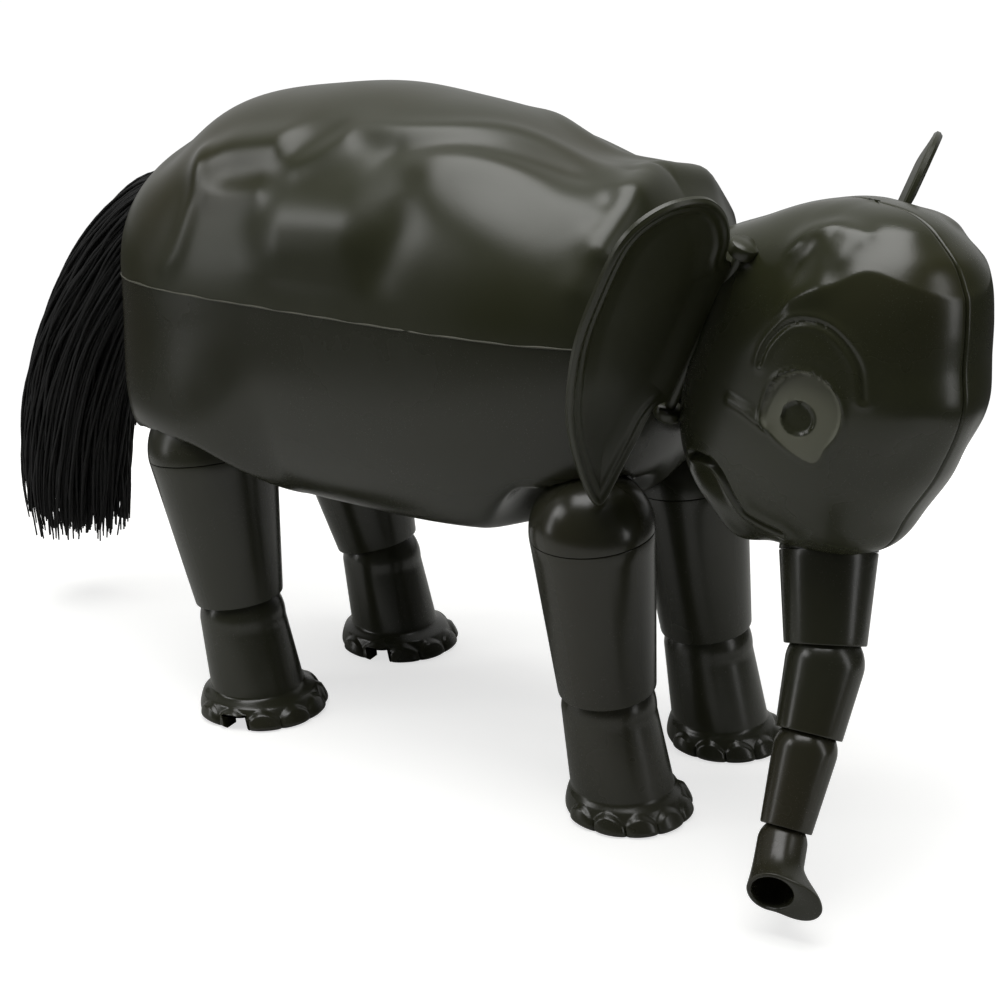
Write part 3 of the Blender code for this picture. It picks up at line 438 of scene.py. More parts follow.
def turned_grid(profile, segments):
    profile = np.asarray(profile, float)
    angle = np.linspace(0.0, 2 * math.pi, segments, endpoint=False)
    grid = np.zeros((len(profile), segments, 3))
    grid[..., 0] = profile[:, :1] * np.cos(angle)
    grid[..., 1] = profile[:, :1] * np.sin(angle)
    grid[..., 2] = profile[:, 1:2]
    return grid


def arc(radius, start, end, steps):
    angles = [start + (end - start) * i / steps for i in range(steps + 1)]
    return [(radius * math.cos(angle), radius * math.sin(angle)) for angle in angles]


def rounded_rim(outer, inner, height, rounding, steps=4):
    """The lower rim of a tube's wall, from its outer side to its inner side."""
    quarter = arc(rounding, 0.0, math.pi / 2, steps)
    points = [(outer - rounding + out, height + rounding - down) for out, down in quarter]
    return points + [(inner + rounding - down, height + rounding - out) for out, down in quarter]


def hole_angle(radius):
    """Where a dome's arc ends at the cord's hole."""
    return math.acos(CORD_HOLE_RADIUS / radius)


def turn_to(direction):
    """A rotation that takes -Z to the given direction by the shortest way."""
    return Vector((0, 0, -1)).rotation_difference(Vector(direction)).to_matrix().to_4x4()


# Materials.
def noise(tree, coords, scale, detail=3.0, roughness=0.5):
    made = tree.nodes.new("ShaderNodeTexNoise")
    made.inputs["Scale"].default_value = scale
    made.inputs["Detail"].default_value = detail
    made.inputs["Roughness"].default_value = roughness
    tree.links.new(coords, made.inputs["Vector"])
    return made.outputs["Fac"]


def ramp(tree, value, low, high, low_value=0.0, high_value=1.0):
    made = tree.nodes.new("ShaderNodeMapRange")
    made.inputs["From Min"].default_value = low
    made.inputs["From Max"].default_value = high
    made.inputs["To Min"].default_value = low_value
    made.inputs["To Max"].default_value = high_value
    tree.links.new(value, made.inputs["Value"])
    return made.outputs["Result"]


def mix_colour(tree, share, first, second):
    made = tree.nodes.new("ShaderNodeMix")
    made.data_type = "RGBA"
    for value, socket in ((first, made.inputs["A"]), (second, made.inputs["B"])):
        if isinstance(value, tuple):
            socket.default_value = value
        else:
            tree.links.new(value, socket)
    tree.links.new(share, made.inputs["Factor"])
    return made.outputs["Result"]


def combine(tree, operation, first, second):
    made = tree.nodes.new("ShaderNodeMath")
    made.operation = operation
    for value, socket in ((first, made.inputs[0]), (second, made.inputs[1])):
        if isinstance(value, (int, float)):
            socket.default_value = value
        else:
            tree.links.new(value, socket)
    return made.outputs["Value"]


def attribute(tree, name):
    node = tree.nodes.new("ShaderNodeAttribute")
    node.attribute_name = name
    return node.outputs["Fac"]


def new_material(name):
    """A material, its nodes, its main shader and the object's own coordinates."""
    made = bpy.data.materials.new(name)
    made.use_nodes = True
    tree = made.node_tree
    coords = tree.nodes.new("ShaderNodeTexCoord").outputs["Object"]
    return made, tree, tree.nodes["Principled BSDF"], coords


def add_bump(tree, shader, height, strength, distance):
    bump = tree.nodes.new("ShaderNodeBump")
    bump.inputs["Strength"].default_value = strength
    bump.inputs["Distance"].default_value = distance
    tree.links.new(height, bump.inputs["Height"])
    tree.links.new(bump.outputs["Normal"], shader.inputs["Normal"])


def plastic(name, colour, pale, warm, gloss, painted_highlight_gap=None):
    """Moulded plastic: slow clouding, fine orange peel and grain, rubbed dust, and a painted highlight where
    given.
    """
    made, tree, shader, coords = new_material(name)
    cloud = noise(tree, coords, CLOUD_SCALE, 4.0)
    flow = noise(tree, coords, FLOW_SCALE, 2.0)
    colour_a = mix_colour(tree, ramp(tree, cloud, 0.35, 0.75), colour, pale)
    colour_b = mix_colour(tree, ramp(tree, flow, 0.52, 0.78, 0.0, 0.75), colour_a, warm)
    specks = noise(tree, coords, SPECK_SCALE, 2.0)
    dust = combine(tree, "MULTIPLY", ramp(tree, specks, 0.66, 0.74), ramp(tree, cloud, 0.45, 0.65))
    worn = combine(tree, "MULTIPLY", dust, DUST_SHARE)
    dust_colour = mix_colour(tree, worn, colour_b, DUST_COLOUR)
    grain = noise(tree, coords, GRAIN_SCALE, 2.0)
    rough_a = ramp(tree, cloud, 0.3, 0.7, gloss - 0.04, gloss + 0.05)
    rough_b = combine(tree, "ADD", rough_a, worn)
    # Painted highlight: inside the eye, less its pupil, the colour turns paler as if lit, and the surface
    # rougher.
    if painted_highlight_gap:
        inside = ramp(tree, attribute(tree, painted_highlight_gap), PAINTED_HIGHLIGHT_EDGE, 0.0, 1.0, 0.0)
        dust_colour = mix_colour(tree, inside, dust_colour, EYE_PAINTED_HIGHLIGHT)
        rough_b = combine(tree, "ADD", rough_b, combine(tree, "MULTIPLY", inside, MARK_ROUGHNESS))
    tree.links.new(dust_colour, shader.inputs["Base Color"])
    tree.links.new(rough_b, shader.inputs["Roughness"])
    peel = noise(tree, coords, PEEL_SCALE, 2.0)
    fine = combine(tree, "MULTIPLY", grain, GRAIN_SHARE)
    height = combine(tree, "ADD", fine, combine(tree, "MULTIPLY", peel, PEEL_SHARE))
    add_bump(tree, shader, height, *PLASTIC_BUMP)
    shader.inputs["IOR"].default_value = PLASTIC_IOR
    return made


def fibre(name, colour, pale, roughness, sheen):
    """Yarn or string: strands drawn out along one axis."""
    made, tree, shader, coords = new_material(name)
    stretched = tree.nodes.new("ShaderNodeMapping")
    stretched.inputs["Scale"].default_value = FIBRE_SCALE
    tree.links.new(coords, stretched.inputs["Vector"])
    strand = noise(tree, stretched.outputs["Vector"], 1.0, 3.0)
    tree.links.new(mix_colour(tree, ramp(tree, strand, 0.4, 0.8), colour, pale), shader.inputs["Base Color"])
    rough = ramp(tree, strand, 0.3, 0.7, roughness - 0.08, roughness + 0.08)
    tree.links.new(rough, shader.inputs["Roughness"])
    shader.inputs["Sheen Weight"].default_value = sheen
    add_bump(tree, shader, strand, *FIBRE_BUMP)
    return made


# The plain, pale and warm tints of each plastic.
OLIVE_TINTS = ((0.026, 0.028, 0.012, 1), (0.030, 0.032, 0.016, 1), (0.036, 0.028, 0.011, 1))
DARK_TINTS = ((0.024, 0.025, 0.014, 1), (0.029, 0.030, 0.020, 1), (0.030, 0.024, 0.013, 1))
PALE_TINTS = ((0.085, 0.086, 0.062, 1), (0.110, 0.110, 0.084, 1), (0.095, 0.088, 0.062, 1))

OLIVE = plastic("olive_plastic", *OLIVE_TINTS, 0.33)
DARK_OLIVE = plastic("dark_olive_plastic", *DARK_TINTS, 0.25)
PALE_OLIVE = plastic("pale_olive_plastic", *PALE_TINTS, 0.50)
# The head's plastic, with a painted highlight inside each eye.
HEAD_OLIVE = plastic("head_olive_plastic", *OLIVE_TINTS, 0.26, EYE_HIGHLIGHT_GAP)
YARN = fibre("black_yarn", (0.0006, 0.0006, 0.0006, 1), (0.0020, 0.0019, 0.0018, 1), 0.75, 0.0)
STRING = fibre("tan_string", (0.30, 0.20, 0.09, 1), (0.46, 0.33, 0.17, 1), 0.85, 0.2)


# Body shells, in the body's frame.
UPPER_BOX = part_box("body_upper_shell")
LOWER_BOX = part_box("body_lower_shell")
HALF_LENGTH = (UPPER_BOX[1].x - UPPER_BOX[0].x) / 2
HALF_WIDTH = (UPPER_BOX[1].y - UPPER_BOX[0].y) / 2
SEAM = Vector(
    (
        (UPPER_BOX[0].x + UPPER_BOX[1].x) / 2,
        (UPPER_BOX[0].y + UPPER_BOX[1].y) / 2,
        (UPPER_BOX[0].z + LOWER_BOX[1].z) / 2,
    )
)
NECK_POINT = pivot("head_nod")
HEAD_AHEAD = Vector((math.cos(HEAD_YAW), math.sin(HEAD_YAW), 0.0))

# Folds moulded in the flanks and back: a line of (x, distance from the middle plane, z)
# in the body's frame, then how far it stands out and how wide it is.
BODY_FOLDS = (
    (
        ((-0.055, 0.048, 0.044), (-0.047, 0.046, 0.049), (-0.036, 0.045, 0.051),
         (-0.026, 0.044, 0.052)),
        0.0030,
        0.0085,
    ),
    (((-0.050, 0.054, 0.035), (-0.038, 0.055, 0.036), (-0.027, 0.054, 0.037)), 0.0011, 0.0055),
    (
        ((-0.059, 0.046, 0.047), (-0.057, 0.053, 0.034), (-0.061, 0.058, 0.018),
         (-0.069, 0.059, 0.006)),
        0.0010,
        0.0045,
    ),
    (((-0.012, 0.057, 0.026), (0.004, 0.056, 0.027), (0.012, 0.056, 0.028)), 0.0036, 0.0150),
    (((-0.013, 0.048, 0.046), (-0.006, 0.046, 0.050), (0.000, 0.042, 0.054)), 0.0008, 0.0050),
    (
        ((0.001, 0.038, 0.058), (0.029, 0.030, 0.059), (0.055, 0.014, 0.058),
         (0.078, 0.012, 0.049), (0.094, 0.022, 0.043)),
        0.0012,
        0.0058,
    ),
    (
        ((0.032, 0.049, 0.042), (0.041, 0.040, 0.051), (0.062, 0.032, 0.049),
         (0.088, 0.036, 0.038), (0.095, 0.040, 0.033)),
        0.0010,
        0.0085,
    ),
    (
        ((0.095, 0.004, 0.046), (0.098, 0.020, 0.042), (0.099, 0.035, 0.034),
         (0.099, 0.041, 0.029)),
        0.0017,
        0.0050,
    ),
    (((0.098, 0.043, 0.026), (0.095, 0.049, 0.018)), 0.0009, 0.0050),
    (((0.092, 0.000, 0.050), (0.095, 0.012, 0.048), (0.096, 0.022, 0.044)), 0.0030, 0.0120),
)
BODY_HOLLOWS = (
    (((-0.017, 0.044, 0.052), (-0.004, 0.038, 0.058), (0.017, 0.042, 0.052)), 0.0009, 0.0060),
    (((0.031, 0.049, 0.042), (0.033, 0.055, 0.030), (0.027, 0.059, 0.018)), 0.0011, 0.0075),
    (
        ((0.022, 0.039, 0.053), (0.043, 0.032, 0.056), (0.079, 0.022, 0.047),
         (0.093, 0.029, 0.041)),
        0.0008,
        0.0048,
    ),
    (((0.092, 0.011, 0.046), (0.094, 0.023, 0.043), (0.094, 0.036, 0.035)), 0.0008, 0.0040),
    (((-0.090, 0.000, 0.058), (-0.089, 0.020, 0.056), (-0.086, 0.036, 0.048)), 0.0026, 0.0140),
)


def mirrored(points):
    """The same points with the left side's laid over the right's."""
    folded = points.copy()
    folded[..., 1] = np.abs(folded[..., 1])
    return folded


def relief(points, folds, hollows):
    height = np.zeros(points.shape[:-1])
    for table, sign in ((folds, 1.0), (hollows, -1.0)):
        for line, stand, width in table:
            gap = segment_distance(points, spline_line(line), [0, 1, 2])
            height += sign * stand * ridge(gap, width)
    return height


def hip_frames():
    found = {}
    for end in ("front", "rear"):
        for side in SIDES:
            name = end + "_" + side
            hip = pivot(name + "_hip_swing")
            knee = pivot(name + "_knee_bend")
            found[name] = (hip, (knee - hip).normalized(), knee, CAP_RADII[end])
    return found


LEGS = hip_frames()


def back_section(x, across, rise):
    """The upper half of the body's section at a station: sideways and up."""
    share = x / HALF_LENGTH
    swell = max(1 - abs(share) ** PLAN_POWER, 0.0) ** (1 / PLAN_POWER)
    height = BACK_RISE * curve_through(BACK_PROFILE_SHARES, share)[0]
    y = -HALF_WIDTH * swell * np.sign(across) * np.abs(across) ** (2 / TOP_POWER)
    return y, height * swell * rise ** (2 / TOP_POWER)


def belly_section(x, across, rise):
    """The lower half: boxy and swollen beside the rear legs, and lifted over each leg."""
    share = abs(x / HALF_LENGTH)
    swell = max(1 - share**PLAN_POWER, 0.0) ** (1 / PLAN_POWER)
    profile = FRONT_BELLY_POWER if x > 0 else REAR_BELLY_POWER
    depth = max(1 - share**profile, 0.0) ** (1 / profile)
    haunch = 1 - smooth_step(0.0, HAUNCH_REACH, x + SEAM.x - LEGS["rear_right"][0].x)
    shape = 2 / (BELLY_POWER + (HAUNCH_POWER - BELLY_POWER) * haunch)
    drop = BELLY_DROP * depth * rise**shape
    bulge = HAUNCH_SWELL * haunch * smooth_step(0.0, REAR_HIP_DROP, drop) * depth
    side = HALF_WIDTH * (swell + (depth - swell) * rise) + bulge
    y = -side * np.sign(across) * np.abs(across) ** shape
    limit = np.full_like(drop, BELLY_DROP)
    for name, (hip, _, _, _) in LEGS.items():
        lift = FRONT_HIP_DROP if name.startswith("front") else REAR_HIP_DROP
        away = np.hypot(x + SEAM.x - hip.x, y + SEAM.y - hip.y)
        fade = smooth_step(HIP_FLAT_RADIUS, HIP_FADE_RADIUS, away)
        limit = np.minimum(limit, lift + (BELLY_DROP - lift) * fade)
    return y, -drop * (1 + (drop / limit) ** BLEND_POWER) ** (-1 / BLEND_POWER)


def shell_grid(section, stations, round_count):
    """Stations along the body, each an even row from its right side round to its left."""
    dense = np.linspace(-1.0, 1.0, DENSE_ALONG)
    swell = (1 - dense**PLAN_POWER) ** (1 / PLAN_POWER)
    outline = np.stack([dense * HALF_LENGTH, swell * HALF_WIDTH, np.zeros_like(dense)], axis=1)
    places = np.interp(even_places(outline, stations), np.arange(len(dense)), dense)
    angle = np.linspace(0.0, math.pi, DENSE_ROUND)
    rows = []
    for x in places * HALF_LENGTH:
        y, z = section(x, np.cos(angle), np.sin(angle))
        rows.append(even_row(np.stack([np.full_like(y, x), y, z], axis=1), round_count))
    return np.array(rows)


def with_lip(grid, wall, gap, sign):
    """Turns the seam's edges inward, so that the gap shows a wall and not a paper edge."""
    grid = grid.copy()
    grid[:, 0, 2] = sign * gap / 2
    grid[:, -1, 2] = sign * gap / 2
    inner = grid[:, [0, -1]].copy()
    inner[:, 0, 1] = np.minimum(inner[:, 0, 1] + wall, 0.0)
    inner[:, 1, 1] = np.maximum(inner[:, 1, 1] - wall, 0.0)
    return np.concatenate([inner[:, :1], grid, inner[:, 1:]], axis=1)


def make_body(stations=230, round_count=220):
    for upper, name, section, slot, material in (
        (True, "body_upper", back_section, "olive_plastic", OLIVE),
        (False, "body_lower", belly_section, "dark_olive_plastic", DARK_OLIVE),
    ):
        sign = 1.0 if upper else -1.0
        grid = shell_grid(section, stations, round_count)
        normal = grid_normals(grid)
        outward = (normal * grid).sum(axis=-1, keepdims=True)
        normal = np.where(outward < 0, -normal, normal)
        if upper:
            fade = smooth_step(0.0, 0.012, grid[..., 2])
            grid = grid + normal * (relief(mirrored(grid), BODY_FOLDS, BODY_HOLLOWS) * fade)[..., None]
        grid = with_lip(grid, SHELL_WALL, SEAT_GAP, sign)
        grid = grid + np.array(SEAM)
        if not upper:
            for hip, heading, _, radius in LEGS.values():
                grid = carved(grid, hip, -heading, radius + RUNNING_GAP)
            grid = carved(grid, NECK_POINT, -HEAD_AHEAD, NECK_RADIUS + RUNNING_GAP)
        piece = grid_object(name + "_moulding", [grid])
        add_piece(piece, "body", material, [name + "_shell"])


def make_seam_flash(points=520):
    """The thin pale line of flash that stands along the glued seam, nicked in one place."""
    angle = np.linspace(0.0, 2 * math.pi, points, endpoint=False)
    across, along = np.sin(angle), np.cos(angle)
    x = HALF_LENGTH * np.sign(along) * np.abs(along) ** (2 / PLAN_POWER)
    y = HALF_WIDTH * np.sign(across) * np.abs(across) ** (2 / PLAN_POWER)
    ring = even_row(np.stack([x, y, np.zeros(points)], axis=1)[list(range(points)) + [0]], points + 1)[:-1]
    curve = round_curve("seam_flash", FLASH_RADIUS, 2, caps=False)
    spline = curve.splines.new("POLY")
    spline.points.add(points - 1)
    spline.use_cyclic_u = True
    for i, (target, place) in enumerate(zip(spline.points, ring)):
        wave = math.sin(i * 0.37) * math.sin(i * 0.113)
        target.co = (SEAM.x + place[0], SEAM.y + place[1], SEAM.z + FLASH_RADIUS * 0.5 * wave, 1.0)
        nicked = abs(place[0] - FLASH_NICK_X) < FLASH_NICK_WIDTH and place[1] < 0
        target.radius = 0.15 if nicked else 1.0 + 0.35 * wave
    piece = linked("seam_flash", curve)
    curve.materials.append(PALE_OLIVE)
    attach(piece, "body")


# Head halves, in the head's frame.
HEAD_MATRIX = Matrix.Translation(NECK_POINT) @ Matrix.Rotation(HEAD_YAW, 4, "Z")

EYE_OUTLINE = (
    (0.0495, 0.0125),
    (0.0493, 0.0200),
    (0.0525, 0.0265),
    (0.0585, 0.0300),
    (0.0645, 0.0295),
    (0.0690, 0.0260),
    (0.0712, 0.0205),
    (0.0705, 0.0145),
    (0.0670, 0.0085),
    (0.0625, 0.0035),
)
EYE_DEPTH = 0.0030
EYE_BULGE = 0.0008
PUPIL_MIDDLE = (0.0590, 0.0160)
PUPIL_RADIUS = 0.0050
PUPIL_CUT = ((0.0530, 0.0125), (0.0625, 0.0065))
BROW_LINE = (
    (0.0470, 0.0300),
    (0.0490, 0.0360),
    (0.0540, 0.0420),
    (0.0600, 0.0440),
    (0.0660, 0.0430),
    (0.0710, 0.0390),
    (0.0745, 0.0330),
    (0.0760, 0.0240),
)
CHEEK_LINE = ((0.0360, 0.0170), (0.0430, 0.0150), (0.0495, 0.0120))
MOUTH_LINE = (
    (0.0160, -0.0050),
    (0.0210, -0.0042),
    (0.0270, -0.0045),
    (0.0305, -0.0070),
    (0.0320, -0.0110),
    (0.0330, -0.0160),
    (0.0340, -0.0200),
    (0.0380, -0.0225),
    (0.0440, -0.0245),
)
LEDGE_LINE = (
    (0.0480, 0.0430),
    (0.0555, 0.0500),
    (0.0640, 0.0540),
    (0.0710, 0.0585),
    (0.0790, 0.0560),
    (0.0880, 0.0510),
)
HEAD_FOLDS = (
    (((0.056, 0.023, 0.0625), (0.061, 0.022, 0.0630)), 0.0015, 0.0080),
    (((0.053, 0.032, 0.049), (0.060, 0.029, 0.053)), 0.0012, 0.0050),
    (((0.074, 0.018, 0.060), (0.080, 0.014, 0.057)), 0.0004, 0.0080),
    (
        ((0.0480, 0.024, 0.064), (0.050, 0.022, 0.066), (0.056, 0.0185, 0.068),
         (0.064, 0.018, 0.0665)),
        0.0009,
        0.0038,
    ),
    (((0.004, 0.000, -0.034), (0.012, 0.006, -0.037), (0.016, 0.013, -0.034)), 0.0038, 0.0085),
    (((-0.004, 0.022, -0.012), (0.000, 0.022, -0.021), (0.004, 0.018, -0.029)), 0.0032, 0.0110),
)
HEAD_HOLLOWS = (
    (((0.074, 0.020, 0.002), (0.078, 0.016, 0.003)), 0.0012, 0.0080),
    (((0.083, 0.012, 0.009), (0.084, 0.010, 0.012)), 0.0008, 0.0060),
    (((0.051, 0.028, 0.058), (0.053, 0.027, 0.061)), 0.0009, 0.0045),
)


def signed_gap(points, outline):
    """Distance to a closed outline in the side view, negative inside it."""
    line = spline_line(outline, 6, closed=True)
    ring = np.concatenate([line, line[:1]])
    gap = segment_distance(points, ring, [0, 2])
    x, z = points[..., 0], points[..., 2]
    inside = np.zeros(x.shape, bool)
    for (x0, z0), (x1, z1) in zip(ring[:-1], ring[1:]):
        crosses = (z0 > z) != (z1 > z)
        edge = x0 + (z - z0) * (x1 - x0) / (z1 - z0 if z1 != z0 else 1e-12)
        inside ^= crosses & (x < edge)
    return np.where(inside, -gap, gap)


def face_relief(points):
    """The moulded eye, brow, cheek, mouth and temple on one side of the head."""
    height = relief(points, HEAD_FOLDS, HEAD_HOLLOWS)
    x, z = points[..., 0], points[..., 2]
    front = smooth_step(0.012, 0.016, x)
    eye = signed_gap(points, EYE_OUTLINE)
    low, high = min(p[1] for p in EYE_OUTLINE), max(p[1] for p in EYE_OUTLINE)
    up = np.clip((z - low) / (high - low), 0.0, 1.0)
    height -= (EYE_DEPTH * up - EYE_BULGE * (1 - up)) * smooth_step(0.0, -0.0009, eye)
    height += 0.0007 * ridge(eye - 0.0004, 0.0007) * (1 - 0.6 * up)
    pupil = pupil_gap(x, z)
    height -= 0.0009 * smooth_step(0.0, -0.0006, pupil)
    height += 0.0003 * ridge(pupil, 0.0005) * smooth_step(0.0006, -0.0002, pupil)
    brow = segment_distance(points, spline_line(BROW_LINE), [0, 2])
    height += 0.0007 * ridge(brow, 0.0019) - 0.0011 * ridge(brow, 0.0009)
    cheek = segment_distance(points, spline_line(CHEEK_LINE), [0, 2])
    height += 0.0010 * ridge(cheek, 0.0016)
    mouth = segment_distance(points, spline_line(MOUTH_LINE), [0, 2])
    height += front * (0.0012 * ridge(mouth, 0.0030) - 0.0036 * ridge(mouth, 0.0011))
    ledge = curve_through(LEDGE_LINE, x)[0]
    above = z - ledge
    reach = smooth_step(0.044, 0.052, x)
    height -= reach * np.where(above > 0, 0.0011 * (above / 0.009) * np.exp(1 - above / 0.009), 0.0)
    return height


def head_half_grid(rows=200, columns=210):
    angle = np.linspace(-math.pi / 2, math.pi / 2, rows)
    azimuth = np.linspace(0.0, math.pi, DENSE_ROUND)
    ahead, across = np.cos(azimuth), np.sin(azimuth)
    grid = []
    for tilt in angle:
        height = math.sin(tilt)
        swell = max(1 - abs(height) ** HEAD_POWER, 0.0) ** (1 / HEAD_POWER)
        widest, face, nape, width = (float(v) for v in curve_through(HEAD_FORM_SHARES, height))
        shape = np.where(ahead > 0, FACE_POWER, NAPE_POWER)
        reach = np.where(ahead > 0, face * HEAD_FRONT, nape * HEAD_BACK)
        x = widest * HEAD_BACK + reach * swell * np.sign(ahead) * np.abs(ahead) ** (2 / shape)
        y = width * HEAD_HALF_WIDTH * swell * across ** (2 / shape)
        z = np.full_like(x, HEAD_MIDDLE_RISE + HEAD_HALF_HEIGHT * height)
        grid.append(even_row(np.stack([x, y, z], axis=1), columns))
    return np.array(grid)


def pupil_gap(x, z):
    """Distance to the pupil's outline, a disc cut off by a straight lower lid."""
    away = np.hypot(x - PUPIL_MIDDLE[0], z - PUPIL_MIDDLE[1])
    (ax, az), (bx, bz) = PUPIL_CUT
    side = ((bx - ax) * (z - az) - (bz - az) * (x - ax)) / math.hypot(bx - ax, bz - az)
    return np.maximum(away - PUPIL_RADIUS, -side)


def store_eye_highlight_gap(piece, sign):
    """Keeps each point's distance to the edge of the eye, less its pupil, for the painted highlight there.
    """
    places = np.array([tuple(v.co) for v in piece.data.vertices])
    gap = np.maximum(signed_gap(places, EYE_OUTLINE), -pupil_gap(places[:, 0], places[:, 2]))
    gap = np.where(sign * places[:, 1] > HEAD_HALF_WIDTH / 8, gap, 1.0)
    kept = piece.data.attributes.new(EYE_HIGHLIGHT_GAP, "FLOAT", "POINT")
    kept.data.foreach_set("value", gap.astype(np.float32))


def make_head():
    base = head_half_grid()
    middle = np.array([HEAD_BACK, 0.0, HEAD_MIDDLE_RISE])
    normal = grid_normals(base)
    outward = (normal * (base - middle)).sum(axis=-1, keepdims=True)
    normal = np.where(outward < 0, -normal, normal)
    edge = np.clip(base[..., 1] / 0.0012, 0.0, 1.0)
    height = face_relief(base) - 0.0006 * (1 - edge) ** 2
    shaped = base + normal * height[..., None]
    shaped[..., 1] = np.maximum(shaped[..., 1], SEAT_GAP / 2)
    shaped[:, 0, 1] = SEAT_GAP / 2
    shaped[:, -1, 1] = SEAT_GAP / 2
    lip = shaped[:, [0, -1]].copy()
    lip[:, 0, 0] -= SHELL_WALL
    lip[:, 1, 0] += SHELL_WALL
    shaped = np.concatenate([lip[:, :1], shaped, lip[:, 1:]], axis=1)
    shaped = carved(shaped, (0.0, 0.0, 0.0), (1.0, 0.0, 0.0), NECK_RADIUS + RUNNING_GAP)
    turn = HEAD_MATRIX.inverted()
    seat = turn @ TRUNK_POINTS[0]
    up = -(turn.to_3x3() @ TRUNK_AXES[0])
    for side, sign in SIDES.items():
        grid = shaped.copy()
        grid[..., 1] *= sign
        grid = carved(grid, seat, up, TRUNK_DOME_RADII[0] + RUNNING_GAP)
        piece = grid_object("head_%s_moulding" % side, [grid])
        store_eye_highlight_gap(piece, sign)
        add_piece(piece, "head", HEAD_OLIVE, ["head_%s_half" % side], HEAD_MATRIX)
        foot, along, _, _, length = ear_frame(sign)
        lugs = []
        for start in (-EAR_LUG_LENGTH, length):
            profile = [(0.0, EAR_LUG_LENGTH), (EAR_LUG_RADIUS - RIM_ROUNDING, EAR_LUG_LENGTH)]
            profile += [(EAR_LUG_RADIUS, EAR_LUG_LENGTH - RIM_ROUNDING), (EAR_LUG_RADIUS, RIM_ROUNDING)]
            profile += [(EAR_LUG_RADIUS - RIM_ROUNDING, 0.0), (0.0, 0.0)]
            place = Matrix.Translation(foot + along * start) @ turn_to(-along)
            grid = turned_grid(profile, 40)
            lugs.append(placed(grid, place))
        piece = grid_object("ear_lugs_%s" % side, lugs, round_closed=True)
        add_piece(piece, "head", OLIVE, [], HEAD_MATRIX)


def placed(grid, matrix):
    turn = np.array(matrix.to_3x3())
    return grid @ turn.T + np.array(matrix.translation)


# Ears.
def ear_frame(sign, fold=0.0):
    """The hinge line's foot, its direction, the way the ear spreads and its face normal."""

    def side(point):
        return Vector((point[0], sign * point[1], point[2]))

    top, foot, spread = side(EAR_HINGE_TOP), side(EAR_HINGE_FOOT), side(EAR_SPREAD_POINT)
    along = (top - foot).normalized()
    out = spread - foot
    out = (out - out.dot(along) * along).normalized()
    out = Matrix.Rotation(sign * fold, 3, along) @ out
    normal = along.cross(out) * sign * -1
    return foot, along, out, normal, (top - foot).length


def ear_sheet(side, sign, front):
    """One face of an ear, as rings drawn in from its outline."""
    foot, along, out, normal, _ = ear_frame(sign, EAR_FOLDS[side])
    outline = spline_line(EAR_OUTLINE_SHARES, 16, closed=True)
    middle = np.array(EAR_MIDDLE_SHARES)
    lowest = min(share[0] for share in EAR_OUTLINE_SHARES)
    scales = 1 - np.linspace(0.0, 1.0, 70) ** 1.5
    flat = middle + (outline[None] - middle) * scales[:, None, None]
    size = np.array([EAR_LENGTH, EAR_WIDTH])
    ring = np.concatenate([outline, outline[:1]]) * size
    edge = segment_distance(flat * size, ring, [0, 1])
    curl = np.maximum(EAR_CURL_START_SHARE - flat[..., 0], 0.0) / (EAR_CURL_START_SHARE - lowest)
    depth = smooth_step(0.0, 0.012, edge)
    lift = EAR_CURL * curl**2 - EAR_CUP * depth
    hinge = smooth_step(0.10, 0.22, flat[..., 1])
    if front:
        roll = 0.0009 * ridge(edge - 0.0012, 0.0010)
        crest = 0.0006 * ridge(edge - 0.0040, 0.0009)
        lift = lift + hinge * (roll + crest) - 0.0004 * smooth_step(0.0008, 0.0, edge)
    else:
        lift = lift - EAR_WALL + 0.0006 * smooth_step(0.0010, 0.0, edge)
    grid = np.array(foot) + flat[..., :1] * EAR_LENGTH * np.array(along)
    grid = grid + flat[..., 1:] * EAR_WIDTH * np.array(out) + lift[..., None] * np.array(normal)
    return grid


def make_ears():
    for side, sign in SIDES.items():
        front = ear_sheet(side, sign, True)
        back = ear_sheet(side, sign, False)
        shell = np.concatenate([front[::-1], back])
        foot, along, _, _, length = ear_frame(sign)
        reach = EAR_LUG_LENGTH - SEAT_GAP
        ends = (length + reach, -reach)
        bar_profile = [(0.0, ends[0]), *((EAR_BAR_RADIUS, end) for end in ends), (0.0, ends[1])]
        bar = placed(turned_grid(bar_profile, 32), Matrix.Translation(foot) @ turn_to(-along))
        piece = grid_object("ear_%s_moulding" % side, [shell, bar], round_closed=True)
        add_piece(piece, "ear_" + side, OLIVE, ["ear_" + side], HEAD_MATRIX)


# Legs.
def cap_profile(radius):
    hole = hole_angle(radius)
    inner = radius - CAP_WALL
    spigot = radius - TUBE_WALL - RUNNING_GAP
    bore = spigot - CAP_WALL
    profile = arc(radius, hole, 0.0, 40)
    profile += [(spigot, 0.0), (spigot, -CAP_SPIGOT), (bore, -CAP_SPIGOT)]
    return profile + arc(inner, math.acos(bore / inner), hole_angle(inner), 20)


def tube_profile(top, foot, length, wall, head=None):
    """A tapered tube's wall: plain at the top, or under a dome, with a soft lower rim."""
    start = -SEAT_GAP
    taper = (top - foot) / (length + start)
    corner = RIM_ROUNDING / 4
    profile = [] if head else [(top - RIM_ROUNDING, start), (top - corner, start - corner)]
    depths = np.linspace(RIM_ROUNDING, length - 3 * RIM_ROUNDING, 14)
    profile += [(top - taper * depth, start - depth) for depth in depths]
    profile += rounded_rim(foot, foot - wall, -length, RIM_ROUNDING)
    return profile + [(top - wall, start)]


# Down the foot from the ankle, then how far its outline has swelled.
FOOT_SHARES = ((0.00, 0.82), (0.22, 0.89), (0.52, 0.96), (0.80, 1.00), (0.93, 0.985), (1.00, 0.95))


